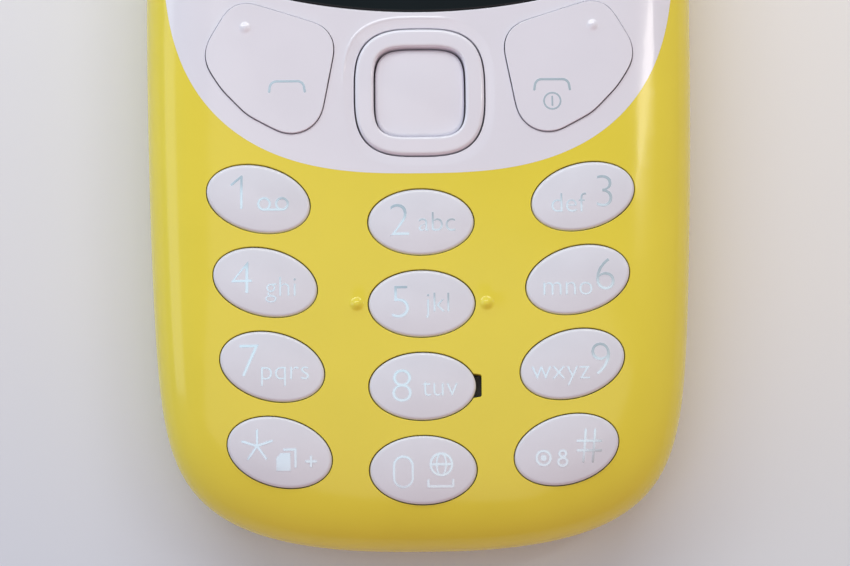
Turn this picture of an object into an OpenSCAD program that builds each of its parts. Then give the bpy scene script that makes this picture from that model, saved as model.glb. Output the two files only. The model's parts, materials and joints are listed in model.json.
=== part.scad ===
// Feature phone: a one-piece keypad handset lying on its back with its front up.
// +X is right as seen from the front, +Y runs to the earpiece end, +Z leaves the front.
// The origin is under the middle of the flat back. All lengths are in millimetres.

/* [Body] */
// Width of the body at its widest
body_w = 51; // [50:0.5:56]
// Length of the body
body_l = 115.6; // [114:0.2:124]
// Thickness of the front and rear shells together
body_t = 12.4; // [12.2:0.1:13.6]
// Height of the seam between the two shells
seam_z = 6; // [5.8:0.1:6.4]
// How far each side draws in from mid-length to the ends
side_draw = 2.5; // [1.5:0.1:3]
// Squareness of the outline across the body
side_power = 2.5; // [2.3:0.1:3]
// Squareness of the outline along the body
end_power = 13.5; // [10:0.5:16]
// Flatness of the front and back between their edges
crown_power = 8; // [7:0.5:10]
// Fullness of the edge where the faces roll over
edge_power = 2.5; // [2.2:0.1:2.8]
// Depth of belly taken off to leave a flat back
belly_cut = 0.3; // [0.2:0.05:0.4]
// Wall of the front shell
front_wall = 1.2; // [1:0.05:1.3]
// Wall of the rear cover
rear_wall = 1.1; // [0.9:0.05:1.2]
// Gap at the seam between the shells
seam_gap = 0.1; // [0.05:0.01:0.2]
// Gap round pieces let into the front
trim_gap = 0.08; // [0.05:0.01:0.12]
// Gap between neighbouring pieces that only rest on each other
seat_gap = 0.05; // [0.03:0.01:0.08]
// Gap between the inside pieces and the shells
room_gap = 0.3; // [0.2:0.05:0.35]
// Length of a rear cover tab
tab_l = 5; // [4:0.5:6]
// Thickness of a rear cover tab
tab_t = 0.8; // [0.7:0.05:0.9]
// Height of a rear cover tab above the seam
tab_rise = 1.2; // [1:0.1:1.4]
// Length of the nail notch in the rear cover
notch_l = 7; // [5:0.5:8]
// Width of the nail notch
notch_w = 1.6; // [1.2:0.1:1.8]

/* [Front panel] */
// Width of the yellow edge beside the white panel
panel_side = 1.95; // [1.5:0.05:2.2]
// Distance from the top end to the panel
panel_top_gap = 2.8; // [2:0.1:4]
// Squareness of the panel's lower curve
panel_power = 2.75; // [2.3:0.05:3]
// Distance from the top row of keys to the panel's edge
panel_rise = 1.45; // [1.2:0.05:1.7]
// Distance from the panel's edge up to the navigation centre
panel_drop = 7.5; // [7.2:0.1:8]
// Distance from the side to the display window
window_side = 5.7; // [5:0.1:6.5]
// Distance from the top end to the window
window_top_gap = 12; // [11.5:0.1:14]
// Distance from the navigation centre up to the window
window_rise = 7.55; // [7.4:0.05:8.2]
// Radius of the window's curved ends
window_end_r = 57; // [50:1:80]
// Corner radius of the window
window_corner = 3; // [2:0.1:4]
// Length of the earpiece slot
earpiece_w = 9; // [7:0.5:11]
// Height of the earpiece slot
earpiece_h = 1.4; // [1:0.1:1.6]
// Distance from the window up to the earpiece slot
earpiece_rise = 3.2; // [2.6:0.1:4]
// Thickness of the earpiece mesh
mesh_t = 0.2; // [0.15:0.05:0.3]

/* [Number keys] */
// Length of an oval key, as a share of the distance between columns
key_share = 0.745; // [0.68:0.005:0.78]
// Distance from row to row
key_pitch = 7.39; // [7.3:0.01:7.6]
// Space between the keys of one row and the next
key_row_gap = 1.39; // [1.2:0.01:1.7]
// Distance from the bottom end to the lowest key
key_end_gap = 4.1; // [3.8:0.1:5]
// Place of the outer columns at the lowest row, as a share of the half width
column_share = 0.5; // [0.48:0.005:0.52]
// Widening of the outer columns at each row up
column_splay = 0.62; // [0.4:0.02:0.7]
// Rise of the outer columns above the middle one
column_rise = 1.7; // [1.5:0.01:1.9]
// Further rise of the outer columns at each row up
column_fan = 0.18; // [0.1:0.01:0.25]
// Tilt of the outer keys, outer end up
key_tilt = 15.2; // [10:0.2:18]
// Clear gap between a key and its hole
key_gap = 0.16; // [0.12:0.01:0.24]
// How far the key tops stand above the front
key_proud = 0.35; // [0.2:0.05:0.5]
// Radius of a key's pillowed top
key_crown_r = 36; // [28:1:60]
// Width of the lip that keeps a key inside
lip_w = 0.35; // [0.25:0.05:0.45]
// Thickness of that lip
lip_t = 0.4; // [0.3:0.05:0.5]
// Width of the two finger bumps beside the middle key
bump_d = 1.2; // [0.8:0.1:1.4]
// Distance from the key's end to the finger bump
bump_gap = 1.05; // [0.9:0.05:1.4]
// Length of the microphone notch
mic_notch_h = 2; // [1.4:0.1:2.4]
// How far the microphone notch reaches past the key
mic_notch_w = 0.6; // [0.4:0.05:0.8]

/* [Navigation keys] */
// Width of the navigation ring
ring_w = 11.7; // [11.4:0.1:12.3]
// Width of the select key inside the ring
select_w = 8.1; // [7.8:0.1:8.5]
// Gap that lets the ring tilt
tilt_gap = 0.22; // [0.2:0.01:0.28]
// Squareness of the ring
ring_power = 3.1; // [2.6:0.1:4]
// Squareness of the select key
select_power = 4.2; // [3:0.1:5]
// Height of the ring above the front
ring_proud = 0.45; // [0.3:0.05:0.6]
// Depth of the select key below the top of the ring
select_sink = 0.6; // [0.4:0.05:0.8]
// Thickness of the rocker under the ring
rocker_t = 0.8; // [0.6:0.05:1]
// Place of the function keys, as a share of the half width
function_share = 0.53; // [0.52:0.005:0.54]
// Rise of the function keys above the navigation centre
function_rise = 2; // [1.8:0.1:2.2]
// How far the function keys stand above the panel
function_proud = 0.12; // [0.05:0.01:0.3]
// Clear gap between a function key and its hole
function_gap = 0.1; // [0.08:0.01:0.16]

/* [Board and display] */
// Thickness of the circuit board
board_t = 0.8; // [0.6:0.05:0.9]
// Gap between the board's edge and the outside
board_inset = 3; // [2.9:0.1:3.4]
// Room under the board for solder
board_room = 0.7; // [0.6:0.05:0.8]
// Thickness of the key contact film
film_t = 0.1; // [0.08:0.01:0.15]
// Height of a metal key dome
dome_h = 0.25; // [0.2:0.01:0.3]
// Diameter of a metal key dome
dome_d = 4; // [3.4:0.1:4.4]
// Diameter of the small domes under the navigation and function keys
small_dome_d = 2.8; // [2.4:0.1:3]
// Thickness of the silicone keypad mat
mat_t = 0.4; // [0.3:0.05:0.5]
// Distance from the window's sides to the display panel
lcd_side = 0.6; // [0.4:0.05:1.6]
// Thickness of the display panel
lcd_t = 1; // [0.8:0.05:1.1]
// Thickness of the backlight
backlight_t = 0.75; // [0.6:0.05:0.85]
// Distance from the window's ends to the display panel
lcd_margin = 3; // [2.8:0.1:4]
// Width of a bar of the foam gaskets
gasket_w = 1; // [0.8:0.05:1.2]
// Width of the display's lead
flex_w = 9; // [7:0.5:9.5]
// Thickness of the display's lead
flex_t = 0.12; // [0.1:0.01:0.16]
// Width of the lead's socket on the board
connector_w = 10; // [9.6:0.1:11]
// Length of the lead's socket along the body
connector_l = 1.6; // [1.4:0.1:1.7]
// Height of the lead's socket
connector_h = 0.7; // [0.6:0.02:0.8]
// Distance from the display down to the far side of the lead's socket
connector_gap = 1.8; // [1.75:0.01:1.9]
// Height of the metal shield cans
can_h = 0.63; // [0.5:0.01:0.75]
// Wall of the metal shield cans
can_wall = 0.15; // [0.1:0.01:0.2]

/* [Frame and battery] */
// Thickness of the frame plate
plate_t = 0.6; // [0.5:0.05:0.8]
// Wall of the battery bay
bay_wall = 0.8; // [0.6:0.05:1]
// Height of the bay's walls above the battery's underside
bay_lift = 1; // [0.8:0.05:1.4]
// Distance from the side to the battery
battery_side = 8.5; // [7.5:0.1:10.5]
// Distance from the vibration motor's axis to the battery
motor_room = 5.4; // [5:0.1:6]
// Width of the battery contact block
contacts_w = 10; // [9:0.5:10.5]
// Length of the battery contact block
contacts_l = 2.6; // [2.2:0.1:2.8]
// Height of the contact block above the battery's underside
contacts_rise = 1; // [0.8:0.1:1.4]
// Distance between the contact pins
pin_pitch = 3; // [2.6:0.1:3.2]
// Gap between the frame's rails and what lies between them
rail_gap = 1.07; // [0.8:0.01:1.3]
// Diameter of the board's standoffs
standoff_d = 3; // [2.4:0.1:3.4]
// Distance from the battery to the card holders
holder_gap = 5.4; // [5:0.1:5.8]
// Gap between the two card holders
holder_split = 0.6; // [0.4:0.05:0.8]
// Distance from the card holders to the loudspeaker
speaker_room = 5.1; // [4:0.1:6]
// Height of the card holders
holder_t = 1.4; // [1.3:0.05:1.5]
// Width of the subscriber card holder
sim_w = 23.4; // [22:0.2:23.4]
// Length of the subscriber card holder
sim_l = 16; // [15:0.5:17]
// Width of the memory card holder
memory_w = 12; // [11.6:0.2:12.4]
// Length of the memory card holder
memory_l = 15; // [14:0.5:16]
// Diameter of a screw boss
boss_d = 3; // [2.6:0.1:3.2]
// Thread diameter of the screws
screw_d = 1.4; // [1.2:0.1:1.6]
// Head diameter of the screws
screw_head_d = 2.6; // [2.2:0.1:2.8]
// Head height of the screws
screw_head_h = 0.7; // [0.5:0.05:0.9]
// Length of the screws under the head
screw_l = 3.6; // [3:0.1:4]

/* [Ports and back] */
// Bore of the headset socket
jack_bore = 3.6; // [3.55:0.01:3.7]
// Depth of the headset socket's bore
jack_depth = 11.2; // [11:0.1:11.4]
// Length of the headset socket
jack_l = 12; // [11.8:0.1:12]
// Distance from the side to the headset socket's axis
jack_side = 12.5; // [12:0.1:13]
// Width of the headset socket's box
jack_w = 6.4; // [6:0.1:6.8]
// Outside diameter of the socket's nose
jack_nose_d = 5.2; // [5:0.1:5.4]
// Distance from the side to the data socket's middle
usb_side = 14.5; // [14:0.1:15]
// Width of the data socket
usb_w = 7.5; // [7.3:0.1:7.8]
// Height of the data socket
usb_h = 2.6; // [2.4:0.05:2.7]
// Length of the data socket
usb_l = 5.6; // [5:0.1:6]
// Gap between a port and the shells
port_gap = 0.4; // [0.3:0.05:0.5]
// Depth of the ports inside the end
port_sink = 0.9; // [0.8:0.1:1.2]
// Length of the headset socket's nose
jack_nose_l = 3.6; // [3:0.1:4]
// Wall of the data socket
usb_wall = 0.3; // [0.25:0.01:0.35]
// Thickness of the data socket's tongue
tongue_t = 0.5; // [0.4:0.05:0.6]
// Diameter of the camera window
camera_d = 7; // [6:0.1:8]
// Width of the rim round the camera window
camera_rim = 1.4; // [1:0.1:1.8]
// Distance from the top end to the camera
camera_end_gap = 16.8; // [16.4:0.1:18]
// Width of the camera module
camera_module_w = 8.5; // [7.5:0.1:8.8]
// Width of the loudspeaker
speaker_w = 13; // [11:0.5:13.2]
// Height of the loudspeaker along the body
speaker_h = 9; // [8:0.5:9.2]
// Gap between the loudspeaker and the camera's rim
speaker_gap = 0.2; // [0.15:0.05:0.4]
// Width of a sound slot in the back
slot_w = 0.9; // [0.7:0.1:1.1]
// Distance between the sound slots
slot_pitch = 2; // [1.8:0.1:2.4]
// Length of the earpiece receiver along the body
receiver_l = 5; // [4.5:0.1:5.2]
// Width of the microphone
mic_w = 2.2; // [2:0.1:2.4]
// Length of the microphone along the body
mic_l = 3; // [2.6:0.1:3.2]
// Height of the microphone
mic_t = 0.9; // [0.8:0.05:1]
// Bore of the microphone's boot
mic_bore = 0.9; // [0.7:0.05:1]
// Width of the antenna carrier
antenna_w = 12; // [10:0.5:12.5]
// Length of the antenna carrier along the body
antenna_l = 4.8; // [4:0.2:4.8]
// Height of the antenna carrier
antenna_h = 3.1; // [2.6:0.1:3.2]
// Distance from the bottom end to the vibration motor's axis
motor_end_gap = 9.4; // [9.2:0.1:9.6]
// Depth of the motor's axis under the frame plate
motor_drop = 1.6; // [1.6:0.05:1.8]
// Diameter of the vibration motor
motor_d = 3.8; // [3.4:0.1:4]
// Length of the vibration motor's can
motor_l = 9; // [8:0.5:10]
// Diameter of the vibration motor's shaft
shaft_d = 0.8; // [0.6:0.1:1]
// Running clearance of the weight on its shaft
shaft_gap = 0.03; // [0.02:0.01:0.05]
// Length of the vibration weight
weight_l = 3; // [2.5:0.1:3.5]

/* [Hidden] */
$fn = 64;

// Fineness of the shells
quarter_steps = 14;
rise_steps = 8;

// Function key outline as round lobes: x outwards, y and radius, as shares of the half width
lobe_shares = [
    [0.088, 0.16, 0.091],
    [-0.127, 0.082, 0.099],
    [-0.075, -0.113, 0.113],
    [0.116, 0.065, 0.116],
    [-0.006, -0.039, 0.145],
    [0.088, 0.003, 0.106]
];

// Screw bosses and cover tabs, by their places along the body
high_boss_ys = [36, 4];
low_boss_y = -38;
tab_ys = [20, -16];
tab_z = 2.6;

// Shield cans: widths as shares of the display's, the gap between them and to the display's ends
can_shares = [0.52, 0.31];
can_split = 2;
can_rise = 13.7;
can_fall = 6.8;

// Chips in each can: x, y, width and length as shares of the can
chip_shares = [
    [[0.1, 0.1, 0.5, 0.36], [0.1, 0.57, 0.4, 0.32], [0.65, 0.14, 0.25, 0.22]],
    [[0.2, 0.14, 0.58, 0.25], [0.2, 0.57, 0.5, 0.18]]
];

// Places of the standoffs across the body, of the antenna's edge and of the motor's inner end
standoff_xs = [10, 14];
standoff_drop = 5;
antenna_x = 1;
motor_x = -2;

// Small fixed sizes: overrun of cuts, margins and the details of bought-in parts
over = 1;
film_inset = 0.2;
led_size = [1.6, 0.8];
pin_w = 1;
pin_t = 0.4;
card_t = 0.9;
card_edge = 0.6;
card_floor = 0.2;
cone_depth = 0.5;
cone_inset = 3;
lens_ds = [4, 2];
lens_l = 1;
hub_wall = 0.5;
weight_inset = 0.1;
notch_depth = 1;
notch_from = [19.2, 3.6];

// Half sizes of the body and the heights of its two shells
half_w = body_w / 2;
half_l = body_l / 2;
front_h = body_t - seam_z;
rear_h = seam_z + belly_cut;
inner_w = half_w - front_wall;
inner_l = half_l - front_wall;
inner_h = front_h - front_wall;

// Widths and places across the body
panel_w = body_w - 2 * panel_side;
window_w = body_w - 2 * window_side;
lcd_w = window_w - 2 * lcd_side;
can_ws = lcd_w * can_shares;
battery_w = body_w - 2 * battery_side;
column_x = half_w * column_share;
key_w = column_x * key_share;
function_x = half_w * function_share;
function_lobes = half_w * lobe_shares;
jack_x = half_w - jack_side;
usb_x = half_w - usb_side;
speaker_x = camera_d / 2 + camera_rim + speaker_gap + speaker_w / 2;
holders_w = sim_w + holder_split + memory_w;
sim_x = -holders_w / 2;
memory_x = holders_w / 2 - memory_w;
open_w = 2 * max(holders_w / 2 + rail_gap, speaker_x + speaker_w / 2 + rail_gap / 2);
frame_inset = front_wall + tab_t + 2 * room_gap;
boss_inset = max(front_wall + 2 * room_gap, panel_side + seat_gap) + boss_d / 2;
mic_x = key_w / 2 + key_gap + lip_w + room_gap;

// Places along the body
key_h = key_pitch - key_row_gap;
key_y0 = -half_l + key_end_gap + key_h / 2;
panel_y0 = key_y0 + 3 * key_pitch + key_h / 2 + panel_rise;
panel_y1 = half_l - panel_top_gap;
nav_y = panel_y0 + panel_drop;
window_y0 = nav_y + window_rise;
window_y1 = half_l - window_top_gap;
earpiece_y = window_y1 + earpiece_rise;
lcd_y0 = window_y0 + lcd_margin;
lcd_y1 = window_y1 - lcd_margin;
can_y = lcd_y0 + can_rise;
can_l = lcd_y1 - can_fall - can_y;
mat_y1 = lcd_y0 - connector_gap - trim_gap;
film_y1 = mat_y1 - room_gap;
camera_y = half_l - camera_end_gap;
holder_y = camera_y - speaker_h / 2 - speaker_room - sim_l;
motor_y = -half_l + motor_end_gap;
battery_y0 = motor_y + motor_room;
battery_y1 = holder_y - holder_gap;
battery_l = battery_y1 - battery_y0;
jack_mouth_y = end_y(jack_x + jack_nose_d / 2) - port_sink;
usb_mouth_y = end_y(usb_x + usb_w / 2) - port_sink;

// Heights, from the display down to the battery
lcd_top = front_inner_z(lcd_w / 2, lcd_y1) - room_gap / 2;
lcd_z = lcd_top - lcd_t;
backlight_z = lcd_z - backlight_t;
board_top = backlight_z - can_h - 2 * seat_gap;
board_z = board_top - board_t;
under_board = board_z - seat_gap;
plate_top = board_z - board_room;
plate_z = plate_top - plate_t;
battery_z = rear_wall + room_gap;
battery_t = plate_z - room_gap / 2 - battery_z;
jack_z = backlight_z - 2 * seat_gap - jack_nose_d / 2;
motor_z = plate_z - motor_drop;
speaker_z = rear_wall + 3 * room_gap;

// Heights, from the board up to the keys
film_top = board_top + film_t;
mat_z = film_top + dome_h + seat_gap;
mat_top = mat_z + mat_t;
ring_z = mat_top + rocker_t + room_gap;

// A number's power that keeps its sign
function signed_power(v, p) = sign(v) * pow(abs(v), p);

// Angles round the outline, crowded where the sides run straight
function eased(i) = 90 * pow(i / quarter_steps, 3);
function loop_angle(j) =
    let (q = floor(j / quarter_steps), i = j % quarter_steps)
    q == 0 ? eased(i)
    : q == 1 ? 180 - eased(quarter_steps - i)
    : q == 2 ? 180 + eased(i)
    : 360 - eased(quarter_steps - i);

// Plan outline of the body for given half sizes
function outline(w, l) = [
    for (j = [0:4 * quarter_steps - 1])
        let (t = loop_angle(j), v = signed_power(sin(t), 2 / end_power))
        [signed_power(cos(t), 2 / side_power) * (w - side_draw * v * v), l * v]
];

// Half width of that outline at a place along the body
function half_width(y, w = half_w, l = half_l) =
    (w - side_draw * pow(y / l, 2)) * pow(1 - pow(abs(y) / l, end_power), 1 / side_power);

// Where the outline ends along the body at a distance from the centre line
function end_y(x) = half_l * pow(1 - pow(abs(x) / (half_w - side_draw), side_power), 1 / end_power);

// How far out a point lies: 0 at the centre and 1 on the outline
function beyond(x, y, s, w, l) =
    let (across = abs(x) / (s * (w - side_draw * pow(y / (s * l), 2))), along = abs(y) / (s * l))
    pow(across, side_power) + pow(along, end_power) > 1;
function reach(x, y, w, l, low, high, n) =
    let (mid = (low + high) / 2)
    n == 0 ? mid
    : beyond(x, y, mid, w, l) ? reach(x, y, w, l, mid, high, n - 1)
    : reach(x, y, w, l, low, mid, n - 1);
function reach_of(x, y, w, l) = reach(x, y, w, l, max(abs(x) / w, abs(y) / l, 0.01), 1.2, 24);

// Height of the front's outer and inner faces at a point
function crown(s) = pow(max(0, 1 - pow(s, crown_power)), 1 / edge_power);
function front_z(x, y) = seam_z + front_h * crown(reach_of(x, y, half_w, half_l));
function front_inner_z(x, y) = seam_z + inner_h * crown(reach_of(x, y, inner_w, inner_l));

// Outward direction of the front at a point
function front_normal(x, y, d = 0.5) =
    let (dx = (front_z(x + d, y) - front_z(x - d, y)) / (2 * d))
    let (dy = (front_z(x, y + d) - front_z(x, y - d)) / (2 * d))
    [-dx, -dy, 1] / norm([-dx, -dy, 1]);

// Outline with four rounded sides, an oval at power 2
function squircle(w, h, p, n = 48) = [
    for (i = [0:n - 1])
        [w / 2 * signed_power(cos(360 * i / n), 2 / p), h / 2 * signed_power(sin(360 * i / n), 2 / p)]
];

// Places of the number keys: column -1, 0 or 1 and row 0 at the bottom
function key_x(c, r) = c * (column_x + column_splay * r);
function key_y(c, r) = key_y0 + key_pitch * r + (c == 0 ? 0 : column_rise + column_fan * r);

// Places of the screws
function bosses_at(ys) = [for (y = ys, side = [-1, 1]) [side * (half_width(y) - boss_inset), y]];
high_bosses = bosses_at(high_boss_ys);
low_bosses = bosses_at([low_boss_y]);
boss_points = concat(high_bosses, low_bosses);

// Places of the keypad lamps, between the keys
led_points = [for (c = [-1, 1], r = [0:2]) [c * column_x / 2, key_y(0, r) + key_pitch / 2]];

// Places of the standoffs under the board, at the bottom end and over the battery
standoff_points = [
    for (side = [-1, 1], i = [0, 1])
        [side * standoff_xs[i], i == 0 ? motor_y + motor_d / 2 + standoff_d / 2 : battery_y1 - standoff_drop]
];

// Left edge of a shield can
function can_x(i) = -(can_ws[0] + can_split + can_ws[1]) / 2 + i * (can_ws[0] + can_split);

// Solid dome over the plan outline, z = 0 at its rim, on a straight skirt
module dome(w, l, h, skirt = 0) {
    n = 4 * quarter_steps;
    rim = outline(w, l);
    foot = [for (p = rim) if (skirt > 0) [p.x, p.y, -skirt]];
    rings = [
        for (k = [0:rise_steps - 1], p = rim)
            let (a = 90 * k / rise_steps, s = pow(cos(a), 2 / crown_power))
            [p.x * s, p.y * s, h * pow(sin(a), 2 / edge_power)]
    ];
    points = concat(foot, rings, [[0, 0, h]]);
    top = len(points) - 1;
    sides = [
        for (k = [0:top / n - 2], j = [0:n - 1], upper = [false, true])
            let (a = k * n + j, b = k * n + (j + 1) % n)
            upper ? [a, b + n, b] : [a, a + n, b + n]
    ];
    fan = [for (j = [0:n - 1]) [top - n + j, top, top - n + (j + 1) % n]];
    base = [[for (j = [0:n - 1]) j]];
    polyhedron(points, concat(sides, fan, base), convexity = 4);
}

// Front half of the body, outside and inside
module front_solid() {
    translate([0, 0, seam_z])
        dome(half_w, half_l, front_h);
}

module front_hollow() {
    translate([0, 0, seam_z])
        dome(inner_w, inner_l, inner_h, over);
}

module front_shell() {
    difference() {
        front_solid();
        front_hollow();
    }
}

// A prism that passes right through the front
module through_front() {
    translate([0, 0, seam_z - over])
        linear_extrude(front_h + 3 * over)
            children();
}

// Plan of the white panel: the body's outline above, a rounder curve below
module panel_plan(gap) {
    w = panel_w / 2 + gap;
    rise = panel_y1 + gap;
    drop = -panel_y0 + gap;
    upper = [for (p = outline(w, rise)) if (p.y >= 0) p];
    lower = [
        for (i = [1:31])
            let (a = 180 + 180 * i / 32)
            [w * signed_power(cos(a), 2 / panel_power), drop * signed_power(sin(a), 2 / panel_power)]
    ];
    polygon(concat(upper, lower));
}

// Plan of the display window, with curved ends and round corners
module window_plan(gap) {
    offset(r = window_corner + gap)
        offset(delta = -window_corner)
            intersection() {
                translate([-window_w / 2, window_y0])
                    square([window_w, window_y1 - window_y0]);
                translate([0, window_y0 + window_end_r])
                    circle(window_end_r, $fn = 180);
                translate([0, window_y1 - window_end_r])
                    circle(window_end_r, $fn = 180);
            }
}

// Plan of a function key on one side, -1 left or 1 right
module function_plan(side, gap) {
    hull()
        for (lobe = function_lobes)
            translate([side * (function_x + lobe.x), nav_y + function_rise + lobe.y])
                circle(lobe.z + gap, $fn = 32);
}

module earpiece_plan(gap) {
    r = earpiece_h / 2;
    for (side = [-1, 1])
        translate([side * (earpiece_w / 2 - r), earpiece_y])
            circle(r + gap);
    translate([-earpiece_w / 2 + r, earpiece_y - r - gap])
        square([earpiece_w - 2 * r, earpiece_h + 2 * gap]);
}

// Upright oval at a number key's place, grown by a margin
module key_oval(c, r, grow, z, h) {
    translate([key_x(c, r), key_y(c, r), z])
        rotate(c * key_tilt)
            linear_extrude(h)
                polygon(squircle(key_w + 2 * grow, key_h + 2 * grow, 2));
}

// Large ball whose top lies on the front at a point, raised by an amount
module crown_ball(x, y, r, raise) {
    top = [x, y, front_z(x, y) + raise];
    translate(top - r * front_normal(x, y))
        sphere(r, $fn = 200);
}

// Openings where the ports pass through the shells
module port_openings() {
    reach_in = jack_nose_l + port_sink + 2 * over;
    translate([jack_x, half_l + over, jack_z])
        rotate([90, 0, 0])
            cylinder(d = jack_nose_d + 2 * port_gap, h = reach_in + over);
    translate([-usb_x - usb_w / 2 - port_gap, half_l - reach_in, under_board - usb_h - port_gap])
        cube([usb_w + 2 * port_gap, reach_in + over, usb_h + 2 * port_gap]);
}

// Yellow front cover round the keypad, with the screw bosses inside
module front_cover() {
    mid = key_w / 2 + bump_gap;
    notch_x = key_w / 2 + key_gap - mic_notch_w;
    color("#e6c62e")
        difference() {
            union() {
                difference() {
                    front_shell();
                    through_front()
                        panel_plan(trim_gap);
                }
                screw_bosses(low_bosses);
                for (side = [-1, 1])
                    translate([side * mid, key_y(0, 2), front_z(mid, key_y(0, 2)) - bump_d / 4])
                        sphere(d = bump_d, $fn = 32);
            }
            screw_pilots(low_bosses);
            for (c = [-1:1], r = [0:3])
                key_oval(c, r, key_gap, seam_z - over, front_h + 3 * over);
            translate([notch_x, key_y(0, 1) - mic_notch_h / 2, seam_z])
                cube([2 * mic_notch_w, mic_notch_h, front_h + over]);
            port_openings();
        }
}

// White panel round the display and the navigation keys
module upper_fascia() {
    color("#e9e9f0")
        difference() {
            union() {
                intersection() {
                    front_shell();
                    through_front()
                        panel_plan(0);
                }
                screw_bosses(high_bosses);
            }
            screw_pilots(high_bosses);
            through_front() {
                window_plan(trim_gap);
                earpiece_plan(0);
                function_plan(-1, function_gap);
                function_plan(1, function_gap);
                translate([0, nav_y])
                    polygon(squircle(ring_w + 2 * tilt_gap, ring_w + 2 * tilt_gap, ring_power));
            }
        }
}

// Bosses that hang from the front's inner face, and the holes in them
module screw_bosses(points) {
    for (p = points)
        translate([p.x, p.y, plate_top + seat_gap])
            cylinder(d = boss_d, h = front_inner_z(p.x, p.y) + front_wall / 4 - plate_top - seat_gap);
}

module screw_pilots(points) {
    for (p = points)
        translate([p.x, p.y, plate_z])
            cylinder(d = screw_d + 2 * seat_gap, h = screw_l + seat_gap);
}

// Clear window over the display
module display_window() {
    color("#15171c")
        intersection() {
            front_shell();
            through_front()
                window_plan(0);
        }
}

// Fine mesh in the earpiece slot
module earpiece_mesh() {
    color("#555a60")
        translate([0, 0, front_z(0, earpiece_y) - front_wall])
            linear_extrude(mesh_t)
                earpiece_plan(-trim_gap / 2);
}

// One number key: pillowed cap on a wider lip
module number_key(c, r) {
    color("#eeeef4") {
        intersection() {
            key_oval(c, r, 0, mat_top, body_t);
            crown_ball(key_x(c, r), key_y(c, r), key_crown_r, key_proud);
        }
        key_oval(c, r, lip_w, mat_top, lip_t);
    }
}

module key_1() { number_key(-1, 3); }
module key_2() { number_key(0, 3); }
module key_3() { number_key(1, 3); }
module key_4() { number_key(-1, 2); }
module key_5() { number_key(0, 2); }
module key_6() { number_key(1, 2); }
module key_7() { number_key(-1, 1); }
module key_8() { number_key(0, 1); }
module key_9() { number_key(1, 1); }
module key_star() { number_key(-1, 0); }
module key_0() { number_key(0, 0); }
module key_hash() { number_key(1, 0); }

// One rocking function key: soft key at its outer corner, call key at its foot
module function_key(side) {
    color("#e9e9f0") {
        intersection() {
            translate([0, 0, mat_top])
                linear_extrude(body_t)
                    function_plan(side, 0);
            crown_ball(side * function_x, nav_y + function_rise, 2 * key_crown_r, function_proud);
        }
        translate([0, 0, mat_top])
            linear_extrude(lip_t)
                function_plan(side, lip_w);
    }
}

module left_function_key() { function_key(-1); }
module right_function_key() { function_key(1); }

// Square navigation ring that tilts four ways
module nav_ring() {
    hole = select_w + 2 * tilt_gap;
    color("#f0f0f5")
        intersection() {
            translate([0, nav_y, ring_z])
                linear_extrude(body_t)
                    difference() {
                        polygon(squircle(ring_w, ring_w, ring_power));
                        polygon(squircle(hole, hole, select_power));
                    }
            crown_ball(0, nav_y, key_crown_r, ring_proud);
        }
}

// Rocker that carries the ring over its four contacts
module nav_rocker() {
    hole = select_w + 2 * tilt_gap;
    color("#c9ccd2")
        translate([0, nav_y, mat_top])
            linear_extrude(rocker_t)
                difference() {
                    polygon(squircle(ring_w, ring_w, ring_power));
                    polygon(squircle(hole, hole, select_power));
                }
}

// Select key in the middle of the ring
module select_key() {
    color("#eeeef4")
        intersection() {
            translate([0, nav_y, mat_top])
                linear_extrude(body_t)
                    polygon(squircle(select_w, select_w, select_power));
            crown_ball(0, nav_y, key_crown_r, ring_proud - select_sink);
        }
}

// Snap-off rear cover with its tabs, camera hole, sound slots and nail notch
module rear_cover() {
    color("#e6c62e")
        difference() {
            union() {
                difference() {
                    intersection() {
                        translate([0, 0, seam_z - seam_gap])
                            mirror([0, 0, 1])
                                dome(half_w, half_l, rear_h - seam_gap);
                        translate([-body_w, -body_l, 0])
                            cube([2 * body_w, 2 * body_l, seam_z]);
                    }
                    rear_hollow();
                }
                for (y = tab_ys, side = [-1, 1])
                    cover_tab(side, y);
            }
            translate([0, camera_y, -over])
                cylinder(d = camera_d + 2 * camera_rim + 2 * trim_gap, h = seam_z);
            for (i = [-2:2])
                translate([-speaker_x + i * slot_pitch - slot_w / 2, camera_y - speaker_h / 3, -over])
                    cube([slot_w, speaker_h * 2 / 3, seam_z]);
            translate([-speaker_x, camera_y, rear_wall - room_gap])
                linear_extrude(seam_z)
                    square([speaker_w + 2 * trim_gap, speaker_h + 2 * trim_gap], center = true);
            translate([notch_from.x, notch_from.y - half_l, seam_z])
                rotate(45)
                    cube([notch_l, notch_w, 2 * notch_depth], center = true);
            port_openings();
        }
}

// Inside of the rear cover, with a flat floor
module rear_hollow() {
    intersection() {
        translate([0, 0, seam_z])
            mirror([0, 0, 1])
                dome(half_w - rear_wall, half_l - rear_wall, rear_h - rear_wall);
        translate([-body_w, -body_l, rear_wall])
            cube([2 * body_w, 2 * body_l, body_t]);
    }
}

// Straight tab that stands up inside the front cover
module cover_tab(side, y) {
    outer = half_width(y) - front_wall - room_gap;
    translate([side * (outer - tab_t / 2) - tab_t / 2, y - tab_l / 2, tab_z])
        cube([tab_t, tab_l, seam_z + tab_rise - tab_z]);
}

// Rim round the camera window
module camera_bezel() {
    color("#b9bcc2")
        translate([0, camera_y, belly_cut / 2])
            difference() {
                cylinder(d = camera_d + 2 * camera_rim, h = rear_wall);
                translate([0, 0, -over])
                    cylinder(d = camera_d - camera_rim, h = rear_wall + 2 * over);
                translate([0, 0, rear_wall / 3])
                    cylinder(d = camera_d, h = rear_wall);
            }
}

// Clear disc over the camera
module camera_window() {
    color("#20242c")
        translate([0, camera_y, belly_cut / 2 + rear_wall / 3])
            cylinder(d = camera_d - trim_gap, h = rear_wall / 2);
}

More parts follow.
